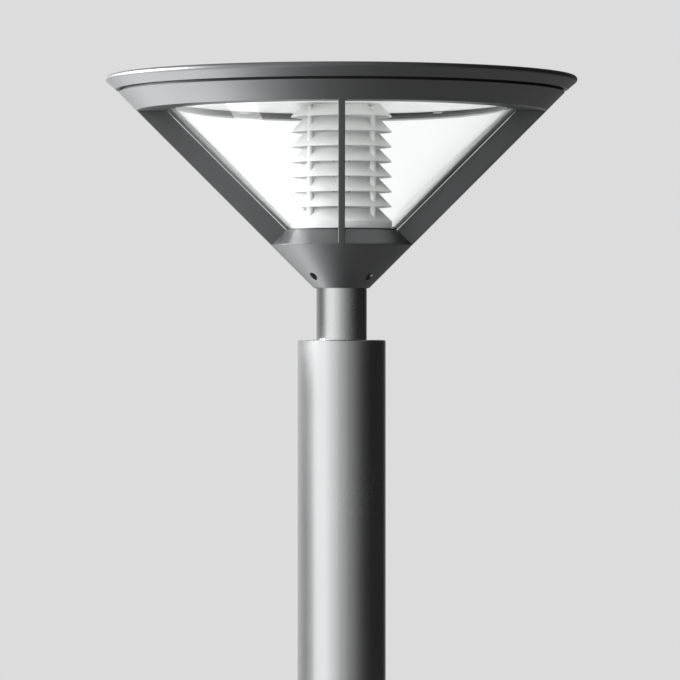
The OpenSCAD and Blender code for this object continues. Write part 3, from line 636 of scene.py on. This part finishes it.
def addPiece(name, mesh, body, slotName, *cadNodes):
    # a finished piece, which rides on a body and stands for the CAD nodes named
    mesh.materials.clear()
    mesh.materials.append(finishes[slotName])
    obj = objectFrom(name, mesh)
    weigh = obj.modifiers.new("weigh", "WEIGHTED_NORMAL")   # keeps wide faces flat beside rounded edges
    weigh.keep_sharp = True
    bpy.context.view_layer.update()
    plain = bpy.data.meshes.new_from_object(obj.evaluated_get(bpy.context.evaluated_depsgraph_get()))
    obj.modifiers.clear()
    obj.data = plain
    bpy.data.meshes.remove(mesh)
    plain.name = name
    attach(obj, body)
    if cadNodes:
        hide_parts(*cadNodes)
    return obj


def joined(name, meshes):
    # several meshes as one
    work = bmesh.new()
    for mesh in meshes:
        work.from_mesh(mesh)
        bpy.data.meshes.remove(mesh)
    out = bpy.data.meshes.new(name)
    work.to_mesh(out)
    work.free()
    smoothShade(out)
    return out


def zAt(local):
    # height above the ground of a height above the pole's shoulder
    return local + shoulderZ / mm


for name, obj in nodes.items():
    obj.data.materials.clear()
    obj.data.materials.append(finishes[slotOf[name]])
print("CAD nodes finished:", len(nodes))

# hub

hub = {"boreR": 38.35, "low": 78.0, "lipR": 42.5, "lipFlat": 2.0, "lipRise": 1.0, "creaseR": 106.5,
       "creaseZ": 143.0, "topR": 84.4, "topZ": 165.1, "flangeR": 58.0, "flange": 7.0, "cavityR": 75.0,
       "cavityZ": 130.0, "ledgeR": 33.0, "ledgeZ": 124.0, "crease": 1.1, "edge": 0.5,
       "lipEdges": (0.3, 0.2, 0.4), "holeR": 4.05, "holeZ": 94.0, "holeFrom": 30.0, "holeTo": 90.0,
       "sinkFrom": 53.5, "sinkTo": 60.0, "sinkR": 7.0, "firstHole": 45.0}


def makeHub():
    work = bmesh.new()
    flangeZ = hub["topZ"] - hub["flange"]
    boreEdge, flatEdge, lipEdge = hub["lipEdges"]
    profile = roundCorners([
        (hub["boreR"], hub["low"], boreEdge), (hub["lipR"] - hub["lipFlat"], hub["low"], flatEdge),
        (hub["lipR"], hub["low"] + hub["lipRise"], lipEdge),
        (hub["creaseR"], hub["creaseZ"], hub["crease"]), (hub["topR"], hub["topZ"], hub["edge"]),
        (hub["flangeR"], hub["topZ"], hub["edge"]), (hub["flangeR"], flangeZ, hub["edge"]),
        (hub["cavityR"], flangeZ, 0), (hub["cavityR"], hub["cavityZ"], 0),
        (hub["ledgeR"], hub["cavityZ"], hub["edge"]), (hub["ledgeR"], hub["ledgeZ"], hub["edge"]),
        (hub["boreR"], hub["ledgeZ"], 0)], 4)
    lathe(work, profile, lift=zAt(0))
    mesh = closeMesh("hubBody", work)
    tilt = Matrix.Rotation(math.radians(90), 4, "Y")

    def addHole(work, k):
        # a round hole with a small countersink where it leaves the cone
        part = bmesh.new()
        lathe(part, [(0, hub["holeFrom"]), (hub["holeR"], hub["holeFrom"]), (hub["holeR"], hub["sinkFrom"]),
                     (hub["sinkR"], hub["sinkTo"]), (hub["sinkR"], hub["holeTo"]), (0, hub["holeTo"])],
              segments["round"], closed=False)
        addMoved(work, part, turned(hub["firstHole"] + 90 * k, 0, zAt(hub["holeZ"])) @ tilt)

    holes = [lambda w, k=k: addHole(w, k) for k in range(4)]
    addPiece("hubBody", carve(mesh, cuts=holes), "post", "head_coat", "hub")


makeHub()

# set screws, each with a hexagon socket at its outer end

setScrew = {"r": 4.0, "from": 38.1, "long": 13.0, "socketR": 2.4, "socketDeep": 4.0, "past": 2.0, "edge": 0.5}


def makeSetScrews():
    work = bmesh.new()
    lathe(work, rodProfile(setScrew["r"], 0, setScrew["long"], setScrew["edge"]), segments["round"],
          closed=False)
    mesh = carve(closeMesh("setScrew", work), cuts=[lambda w: addPrism(
        w, polygonOutline(6, setScrew["socketR"]), setScrew["long"] - setScrew["socketDeep"],
        setScrew["long"] + setScrew["past"], 0, Matrix.Identity(4))])
    place = Matrix.Translation((setScrew["from"] * mm, 0, zAt(hub["holeZ"]) * mm)) @ Matrix.Rotation(
        math.radians(90), 4, "Y")
    mesh.transform(place)
    addPiece("setScrewSet", repeated("setScrewSet", mesh, aroundAxis, "stainless", Count=4,
                                     Start_Angle=math.radians(hub["firstHole"])), "post", "stainless",
             "set_screws")


makeSetScrews()
print("hub and set screws built")

# ribs, which rise at 45 degrees from the hub's widest edge

rib = {"topZ": 345.0, "deep": 32.0, "wide": 10.0, "outerEdge": 1.2, "innerEdge": 0.45}


def makeRibs():
    step = rib["deep"] / math.sqrt(2)
    topR = hub["creaseR"] + rib["topZ"] - hub["creaseZ"]
    outline = [(hub["creaseR"], zAt(hub["creaseZ"])), (topR, zAt(rib["topZ"])),
               (topR - rib["deep"] * math.sqrt(2), zAt(rib["topZ"])),
               (hub["creaseR"] - step, zAt(hub["creaseZ"] + step))]
    work = bmesh.new()
    near = [work.verts.new((r, -rib["wide"] / 2, z)) for r, z in outline]
    far = [work.verts.new((r, rib["wide"] / 2, z)) for r, z in outline]
    work.faces.new(near)
    work.faces.new(far[::-1])
    for k in range(4):
        n = (k + 1) % 4
        work.faces.new((near[n], near[k], far[k], far[n]))
    alongOuter = [work.edges.get((near[0], near[1])), work.edges.get((far[0], far[1]))]
    alongInner = [work.edges.get((near[2], near[3])), work.edges.get((far[2], far[3]))]
    bmesh.ops.bevel(work, geom=alongOuter, offset=rib["outerEdge"], segments=4, profile=0.5, affect="EDGES")
    bmesh.ops.bevel(work, geom=alongInner, offset=rib["innerEdge"], segments=3, profile=0.5, affect="EDGES")
    mesh = closeMesh("rib", work)
    addPiece("ribFrame", repeated("ribFrame", mesh, aroundAxis, "head_coat", Count=4, Start_Angle=0.0),
             "post", "head_coat", "rib_right", "rib_back", "rib_left", "rib_front")


makeRibs()
print("ribs built")

# frame ring, with the lid screws' bosses and the hinge's ears

ring = {"low": 345.0, "top": 373.0, "coneAt": 36.5, "deep": 45.25, "land": 316.5, "wall": 5.0, "floor": 8.5,
        "edge": 0.7, "landEdge": 0.4, "inEdge": 1.0, "sunk": 0.5, "bossR": 9.0, "bossPcr": 308.5,
        "bossLow": 354.4, "bossAngles": (-130, -50), "bossHole": 4.0, "holeFrom": 359.5, "holeTo": 389.5}
hinge = {"y": 366.0, "z": 384.0, "eyeR": 8.997, "pinR": 4.02, "pinHalf": 30.0, "earFrom": 11.2, "earTo": 22.0,
         "earLow": 357.0, "earHigh": 371.0, "earReach": 22.0, "earRise": 2.0, "earIn": 3.0, "edge": 0.6}


def earOutline(spots):
    # an ear seen from the side: the outline drawn tight round some spots and the round eye
    arc = [(hinge["y"] + hinge["eyeR"] * math.cos(a), zAt(hinge["z"]) + hinge["eyeR"] * math.sin(a))
           for a in (k * 2 * math.pi / segments["eye"] for k in range(segments["eye"]))]
    flat = sorted({(round(x, 4), round(y, 4)) for x, y in spots + arc})
    out = []
    for side in (flat, flat[::-1]):
        chain = []
        for spot in side:
            while len(chain) > 1 and ((chain[-1][0] - chain[-2][0]) * (spot[1] - chain[-2][1])
                                      - (chain[-1][1] - chain[-2][1]) * (spot[0] - chain[-2][0])) <= 0:
                chain.pop()
            chain.append(spot)
        out += chain[:-1]
    return out


# puts an outline's X and Y on the world's Y and Z
toSide = Matrix(((0, 0, 1, 0), (1, 0, 0, 0), (0, 1, 0, 0), (0, 0, 0, 1)))


def screwRods(r, low, high, sides=segments["round"]):
    # one upright rod at each lid screw, to join or to cut
    return [lambda w, a=a: addRod(w, r, low, high, 0, sides, turned(a, ring["bossPcr"], zAt(0)))
            for a in ring["bossAngles"]]


def pinRod(r, half):
    # a rod along the hinge's pin, to cut
    place = Matrix.Translation((0, hinge["y"], zAt(hinge["z"]))) @ Matrix.Rotation(math.radians(90), 4, "Y")
    return lambda w: addRod(w, r, -half, half, 0, segments["round"], place)


def coneR(z):
    # the radius of the luminaire's outer cone at a height
    return z - ring["coneAt"]


def makeFrameRing():
    slope = ring["wall"] * math.sqrt(2)
    shelf = ring["low"] + ring["floor"]
    underLand = ring["top"] - ring["wall"]
    work = bmesh.new()
    lathe(work, roundCorners([
        (coneR(ring["low"]) - ring["deep"], ring["low"], ring["edge"]),
        (coneR(ring["low"]), ring["low"], ring["edge"]), (coneR(ring["top"]), ring["top"], ring["edge"]),
        (ring["land"], ring["top"], ring["landEdge"]), (ring["land"], underLand, ring["landEdge"]),
        (coneR(underLand) - slope, underLand, ring["inEdge"]), (coneR(shelf) - slope, shelf, ring["inEdge"]),
        (coneR(shelf) - ring["deep"], shelf, ring["landEdge"])], 4), lift=zAt(0))
    joins = screwRods(ring["bossR"], ring["bossLow"], ring["top"] - ring["sunk"])
    outline = earOutline([
        (coneR(hinge["earLow"]) - hinge["earIn"], zAt(hinge["earLow"])),
        (coneR(hinge["earLow"]) + hinge["earReach"], zAt(hinge["earLow"] + hinge["earRise"])),
        (coneR(hinge["earHigh"]) - hinge["earIn"], zAt(hinge["earHigh"]))])
    for low, high in ((hinge["earFrom"], hinge["earTo"]), (-hinge["earTo"], -hinge["earFrom"])):
        joins.append(lambda w, low=low, high=high: addPrism(w, outline, low, high, hinge["edge"], toSide))
    cuts = screwRods(ring["bossHole"], ring["holeFrom"], ring["holeTo"], segments["screwHole"])
    cuts.append(pinRod(hinge["pinR"], hinge["pinHalf"]))
    addPiece("ringBody", carve(closeMesh("ringBody", work), joins, cuts), "post", "head_coat", "frame_ring")


makeFrameRing()
print("frame ring built")

# lid

lid = {"r": 355.0, "lipZ": 391.5, "noseR": 5.0, "seatZ": 376.5, "rise": 12.999, "wall": 4.0, "foot": 340.0,
       "land": 318.5, "skirt": 13.0, "skirtFoot": 4.0, "skirtTop": 2.0, "seat": 5.0, "edge": 0.5,
       "footEdge": 0.6, "skirtEdge": 1.0, "topEdge": 1.5, "bossIn": 0.6, "bossUnder": 1.0, "past": 25.0,
       "screwHole": 3.05, "headHole": 7.0, "headZ": 393.95, "headGap": 0.1, "lugHalf": 10.8, "lugIn": 9.0,
       "lugLow": -7.0, "lugHigh": 3.0, "pinHole": 4.05, "pinHalf": 22.0, "lipTurn": 175.0, "lipFlat": 4.0,
       "steps": {"under": 10, "lip": 20, "top": 24}}


def domeZ(r):
    # a shallow ball that ends on top of the rounded lip
    edge = lid["r"] - lid["noseR"]
    ball = (edge ** 2 + lid["rise"] ** 2) / (2 * lid["rise"])
    return lid["lipZ"] + lid["noseR"] + lid["rise"] - ball + math.sqrt(ball ** 2 - r ** 2)


def makeLid():
    nose = Vector((lid["r"] - lid["noseR"], lid["lipZ"]))
    foot = Vector((lid["foot"], lid["seatZ"]))
    leaning = math.atan2(nose.y - foot.y, nose.x - foot.x) - math.asin(lid["noseR"] / (nose - foot).length)
    slope = math.degrees(leaning)
    inside = lid["r"] - lid["skirt"]
    seatTop = lid["seatZ"] + lid["seat"]

    def noseSpot(degrees):
        # a spot on the rounded lip
        angle = math.radians(degrees)
        return nose.x + lid["noseR"] * math.cos(angle), nose.y + lid["noseR"] * math.sin(angle)

    under, around, over = lid["steps"].values()
    profile = [(inside * k / under, domeZ(inside * k / under) - lid["wall"]) for k in range(under + 1)]
    profile += roundCorners([(inside, domeZ(inside) - lid["wall"]),
                             (inside, lid["lipZ"] - lid["skirtTop"], lid["topEdge"]),
                             (lid["foot"] - lid["skirtFoot"], seatTop, lid["skirtEdge"]),
                             (lid["land"], seatTop, lid["edge"]), (lid["land"], lid["seatZ"], lid["edge"]),
                             (lid["foot"], lid["seatZ"], lid["footEdge"]), noseSpot(slope - 90)], 3)[1:]
    profile += [noseSpot(slope - 90 + (lid["lipTurn"] - slope) * k / around) for k in range(1, around + 1)]
    outer = nose.x - lid["lipFlat"]
    profile += [(outer * k / over, domeZ(outer * k / over)) for k in range(over, -1, -1)]
    work = bmesh.new()
    lathe(work, profile, lift=zAt(0), closed=False)
    bossTop = domeZ(ring["bossPcr"] + ring["bossR"]) - lid["bossUnder"]
    joins = screwRods(ring["bossR"], lid["seatZ"] + lid["bossIn"], bossTop)
    outline = earOutline([(lid["r"] - lid["lugIn"], zAt(lid["lipZ"] + lid["lugLow"])),
                          (lid["r"] - lid["lugIn"], zAt(lid["lipZ"] + lid["lugHigh"]))])
    joins.append(lambda w: addPrism(w, outline, -lid["lugHalf"], lid["lugHalf"], hinge["edge"], toSide))
    cuts = screwRods(lid["screwHole"], lid["seatZ"] - lid["seat"], lid["headZ"] + lid["seat"],
                     segments["screwHole"])
    cuts += screwRods(lid["headHole"], lid["headZ"] - lid["headGap"], lid["headZ"] + lid["past"])
    cuts.append(pinRod(lid["pinHole"], lid["pinHalf"]))
    addPiece("lidShell", carve(closeMesh("lidShell", work), joins, cuts), "lid", "head_coat", "lid")


makeLid()
print("lid built")

# glass cone and reflector

glass = {"low": 167.1, "top": 352.0, "outerAt": 82.6, "innerAt": 89.67, "edge": 0.6}
reflector = {"r": 268.0, "z": 356.5, "thick": 1.5, "rim": 7.0, "bend": 2.2, "innerBend": 1.2, "edge": 0.6}


def makeGlass():
    work = bmesh.new()
    lathe(work, roundCorners([
        (glass["low"] - glass["innerAt"], glass["low"], glass["edge"]),
        (glass["low"] - glass["outerAt"], glass["low"], glass["edge"]),
        (glass["top"] - glass["outerAt"], glass["top"], glass["edge"]),
        (glass["top"] - glass["innerAt"], glass["top"], glass["edge"])], 3), lift=zAt(0))
    addPiece("glassCone", closeMesh("glassCone", work), "post", "clear_glass", "glass_cone")


def makeReflector():
    low, top, r = reflector["z"], reflector["z"] + reflector["rim"], reflector["r"]
    inner = r - reflector["thick"]
    work = bmesh.new()
    profile = roundCorners([(0, low), (r, low, reflector["bend"]), (r, top, reflector["edge"]),
                            (inner, top, reflector["edge"]),
                            (inner, low + reflector["thick"], reflector["innerBend"]),
                            (0, low + reflector["thick"])], 3)
    lathe(work, profile, lift=zAt(0), closed=False)
    addPiece("reflectorDish", closeMesh("reflectorDish", work), "lid", "reflector_white", "reflector")


makeGlass()
makeReflector()
print("glass and reflector built")

# louvre: a base and eight rings on four posts

louvre = {"r": 76.0, "topR": 57.0, "wall": 2.2, "lip": 1.2, "rise": 21.01, "pitch": 22.7, "count": 8,
          "highZ": 337.0, "topCut": 355.5, "postR": 4.5, "postPcr": 66.0, "postStart": 1.0, "postEdge": 0.2,
          "lowEdge": 0.5, "tipEdge": 0.45, "topEdge": 0.4, "firstPost": 45.0, "baseZ": 165.1,
          "baseTop": 178.1, "baseHole": 12.0, "holeEdges": (0.3, 0.4), "floorBend": 0.8, "postSunk": 0.5,
          "rodTop": 350.5}


def addPosts(work, low, high, lift):
    # the four spacer posts of a ring or of the base
    for k in range(4):
        addRod(work, louvre["postR"], low, high, louvre["postEdge"], segments["post"],
               turned(louvre["firstPost"] + 90 * k, louvre["postPcr"], lift))


def louvreRing(rise, postLow, postHigh, lift):
    work = bmesh.new()
    inner = louvre["r"] - louvre["wall"]
    top = louvre["topR"] + (louvre["r"] - louvre["topR"]) * (1 - rise / louvre["rise"])
    lathe(work, roundCorners([
        (inner, 0, louvre["lowEdge"]), (louvre["r"], 0, louvre["tipEdge"]),
        (louvre["r"], louvre["lip"], louvre["lowEdge"]), (top, rise, louvre["topEdge"]),
        (top - louvre["wall"], rise, louvre["topEdge"])], 3), segments["louvre"], lift=lift)
    addPosts(work, postLow, postHigh, lift)
    return closeMesh("louvreRing", work)


def makeLouvre():
    start, pitch = louvre["postStart"], louvre["pitch"]
    lowest = zAt(louvre["highZ"] - pitch * (louvre["count"] - 1))
    topRise = louvre["topCut"] - louvre["highZ"]
    seed = louvreRing(louvre["rise"], start, start + pitch, lowest)
    stack = repeated("louvreStack", seed, upTheStack, "louvre_white", Count=louvre["count"] - 1,
                     Pitch=pitch * mm)
    top = louvreRing(topRise, start, louvre["rodTop"] - louvre["highZ"], zAt(louvre["highZ"]))
    rings = ["louvre_ring_%d" % k for k in range(1, louvre["count"] + 1)]
    addPiece("louvreStack", joined("louvreStack", [stack, top]), "post", "louvre_white", *rings)


def makeLouvreBase():
    work = bmesh.new()
    floorZ = louvre["baseZ"] + louvre["wall"]
    inner = louvre["r"] - louvre["wall"]
    underEdge, overEdge = louvre["holeEdges"]
    lathe(work, roundCorners([
        (louvre["baseHole"], louvre["baseZ"], underEdge), (louvre["r"], louvre["baseZ"], louvre["lowEdge"]),
        (louvre["r"], louvre["baseTop"], louvre["lowEdge"]), (inner, louvre["baseTop"], louvre["lowEdge"]),
        (inner, floorZ, louvre["floorBend"]), (louvre["baseHole"], floorZ, overEdge)], 3),
          segments["louvre"], lift=zAt(0))
    high = louvre["highZ"] - louvre["pitch"] * (louvre["count"] - 1) + louvre["postStart"]
    addPosts(work, floorZ - louvre["postSunk"], high, zAt(0))
    addPiece("louvreBase", closeMesh("louvreBase", work), "post", "louvre_white", "louvre_base")


makeLouvre()
makeLouvreBase()
print("louvre built")


# floor, light and camera

studio = {
    "floorR": 36.0,
    "floorZ": -0.5 * mm,
    "floorColour": (0.72, 0.72, 0.72),
    "background": 0.716,
    "seenThroughGlass": 1.06,
    # brightness of the light tent by direction: degrees round from the camera, left is negative
    "tent": [(-180, 0.72), (-150, 0.5), (-106, 0.2), (-92, 0.4), (-68, 1.22), (-45, 1.3), (-20, 0.95),
             (0, 0.58), (25, 0.28), (45, 0.11), (62, 0.035), (80, 0.01), (140, 0.02), (165, 0.2),
             (180, 0.72)],
    # brightness of what lies below: by how far left or right the direction points
    "below": [(-1.0, 2.3), (-0.5, 2.3), (-0.36, 1.4), (-0.2, 0.42), (0.0, 0.15), (0.25, 0.24), (1.0, 0.3)],
    "belowFrom": -0.12,
    "belowTo": -0.5,
}
lights = {
    # a wide panel to the left of the luminaire, and a low one behind that its ring mirrors
    "keyLight": {"place": (-1.5, 0.15, 4.12), "aim": (0, 0, 3.9), "wide": 1.0, "high": 0.6, "power": 78.0,
                 "spares": ("spigot", "hubBody", "louvreStack", "louvreBase", "reflectorDish", "floor")},
    "lowLight": {"place": (-0.95, 0.3, 2.5), "aim": (-0.22, -0.2, 3.87), "wide": 0.6, "high": 0.4,
                 "power": 3.5, "spares": ("floor",)},
    # panels that only certain pieces get light from
    "hubLight": {"place": (-1.5, 0.15, 4.12), "aim": (0, 0, 3.9), "wide": 1.0, "high": 0.6, "power": 40.0,
                 "lights": ("hubBody",)},
    "louvreLight": {"place": (-1.3, -1.5, 4.0), "aim": (0, 0, 3.75), "wide": 0.8, "high": 0.6,
                    "power": 20.0, "lights": ("louvreStack", "louvreBase")},
    "ringLight": {"place": (-1.1, 0.8, 2.75), "aim": (-0.2, -0.15, 3.87), "wide": 1.2, "high": 1.2,
                  "power": 8.0, "lights": ("ringBody", "lidShell")},
    "dishLight": {"place": (0.85, -0.5, 3.2), "aim": (0, 0, 3.86), "wide": 0.5, "high": 0.5, "power": 11.0,
                  "lights": ("reflectorDish",)},
    # an even overcast light for the floor alone; its width is an angle
    "floorLight": {"place": (-3.0, -1.0, 9.0), "aim": (0, 0, 0), "angle": 50.0, "power": 2.0,
                   "lights": ("floor",)},
}
camera = {"lens": 217.7, "sensor": 36.0, "distance": 6.2, "aside": -2.4 * mm, "sees": 200.0}


def rampOf(tree, factor, stops, low, high, at):
    # a ramp over low..high, whose values are divided by the largest one so they stay within one
    peak = max(value for _, value in stops)
    ramp = addNode(tree, "ShaderNodeValToRGB", at)
    ramp.color_ramp.interpolation = "EASE"
    marks = ramp.color_ramp.elements
    while len(marks) < len(stops):
        marks.new(0.5)
    for mark, (where, value) in zip(marks, stops):
        mark.position = (where - low) / (high - low)
        mark.color = (value / peak,) * 3 + (1,)
    link(tree, factor, ramp.inputs[0])
    return mathNode(tree, "MULTIPLY", ramp.outputs[0], peak, (at[0] + 300, at[1]))


def makeWorld():
    world = bpy.data.worlds.new("tent")
    bpy.context.scene.world = world
    world.use_nodes = True
    tree = world.node_tree
    tree.nodes.clear()
    place = addNode(tree, "ShaderNodeTexCoord", (-1400, 0))
    axis = addNode(tree, "ShaderNodeSeparateXYZ", (-1200, 0))
    link(tree, place.outputs["Generated"], axis.inputs[0])
    toCamera = mathNode(tree, "MULTIPLY", axis.outputs[1], -1.0, (-1000, -100))
    turn = mathNode(tree, "ARCTAN2", axis.outputs[0], toCamera, (-850, 0))
    share = mathNode(tree, "ADD", mathNode(tree, "DIVIDE", turn, 2 * math.pi, (-700, 0)), 0.5, (-550, 0))
    around = rampOf(tree, share, studio["tent"], -180, 180, (-400, 0))
    half = mathNode(tree, "MULTIPLY", axis.outputs[0], 0.5, (-700, -300))
    side = mathNode(tree, "ADD", half, 0.5, (-550, -300))
    beneath = rampOf(tree, side, studio["below"], -1, 1, (-400, -300))
    drop = addNode(tree, "ShaderNodeMapRange", (-400, -600), interpolation_type="SMOOTHSTEP")
    drop.inputs["From Min"].default_value = studio["belowFrom"]
    drop.inputs["From Max"].default_value = studio["belowTo"]
    link(tree, axis.outputs[2], drop.inputs["Value"])
    tent = mixColour(tree, drop.outputs[0], around, beneath, (0, -100))
    path = addNode(tree, "ShaderNodeLightPath", (-400, 500))
    straight = mathNode(tree, "LESS_THAN", path.outputs["Diffuse Depth"], 0.5, (-200, 500))
    inside = mathNode(tree, "GREATER_THAN", path.outputs["Transmission Depth"], 0.5, (-200, 350))
    # the glass lets much light in from below
    lit = mathNode(tree, "MAXIMUM", straight, drop.outputs[0], (-50, 600))
    through = mathNode(tree, "MULTIPLY", lit, inside, (80, 450))
    lightColour = mixColour(tree, through, tent, (studio["seenThroughGlass"],) * 3, (200, 100))
    shown = mixColour(tree, path.outputs["Is Camera Ray"], lightColour, (studio["background"],) * 3,
                      (400, 100))
    back = addNode(tree, "ShaderNodeBackground", (600, 0))
    link(tree, shown, back.inputs["Color"])
    out = addNode(tree, "ShaderNodeOutputWorld", (800, 0))
    link(tree, back.outputs[0], out.inputs["Surface"])


def makeLight(name, light):
    # a panel, or a sun where an angle is given, that lights or spares the pieces named
    data = bpy.data.lights.new(name, "SUN" if "angle" in light else "AREA")
    data.energy = light["power"]
    if "angle" in light:
        data.angle = math.radians(light["angle"])
    else:
        data.shape = "RECTANGLE"
        data.size = light["wide"]
        data.size_y = light["high"]
    obj = bpy.data.objects.new(name, data)
    bpy.context.scene.collection.objects.link(obj)
    obj.location = light["place"]
    aim = Vector(light["aim"]) - obj.location
    obj.rotation_euler = aim.to_track_quat("-Z", "Y").to_euler()
    obj.visible_camera = False
    obj.visible_transmission = False
    for key, state in (("lights", "INCLUDE"), ("spares", "EXCLUDE")):
        if key in light:
            chosen = bpy.data.collections.new(name + "Pieces")
            for pieceName in light[key]:
                chosen.objects.link(bpy.data.objects[pieceName])
            for item in chosen.collection_objects:
                item.light_linking.link_state = state
            obj.light_linking.receiver_collection = chosen


def makeFloor():
    mesh = bpy.data.meshes.new("floor")
    work = bmesh.new()
    bmesh.ops.create_circle(work, cap_ends=True, segments=128, radius=studio["floorR"])
    work.to_mesh(mesh)
    work.free()
    floor = objectFrom("floor", mesh)
    floor.location.z = studio["floorZ"]
    material, tree, shader = newFinish("floorPaint", Specular_IOR_Level=0.2)
    grain = useGroup(tree, fineGrain, (-500, 0), Colour=studio["floorColour"], Colour_Spread=0.03,
                     Roughness=0.7, Roughness_Spread=0.05, Grain_Size=40.0)
    link(tree, grain.outputs["Colour"], shader.inputs["Base Color"])
    link(tree, grain.outputs["Roughness"], shader.inputs["Roughness"])
    mesh.materials.append(material)
    floor.visible_glossy = False
    floor.visible_diffuse = False


def makeCamera():
    data = bpy.data.cameras.new("camera")
    data.lens = camera["lens"]
    data.sensor_width = camera["sensor"]
    data.clip_end = camera["sees"]
    obj = bpy.data.objects.new("camera", data)
    bpy.context.scene.collection.objects.link(obj)
    obj.location = (camera["aside"], -camera["distance"], shoulderZ)
    obj.rotation_euler = (math.radians(90), 0, 0)
    bpy.context.scene.camera = obj


makeWorld()
makeFloor()
for lightName, light in lights.items():
    makeLight(lightName, light)
makeCamera()
bpy.context.scene.view_settings.view_transform = "Standard"
print("floor, light and camera set")
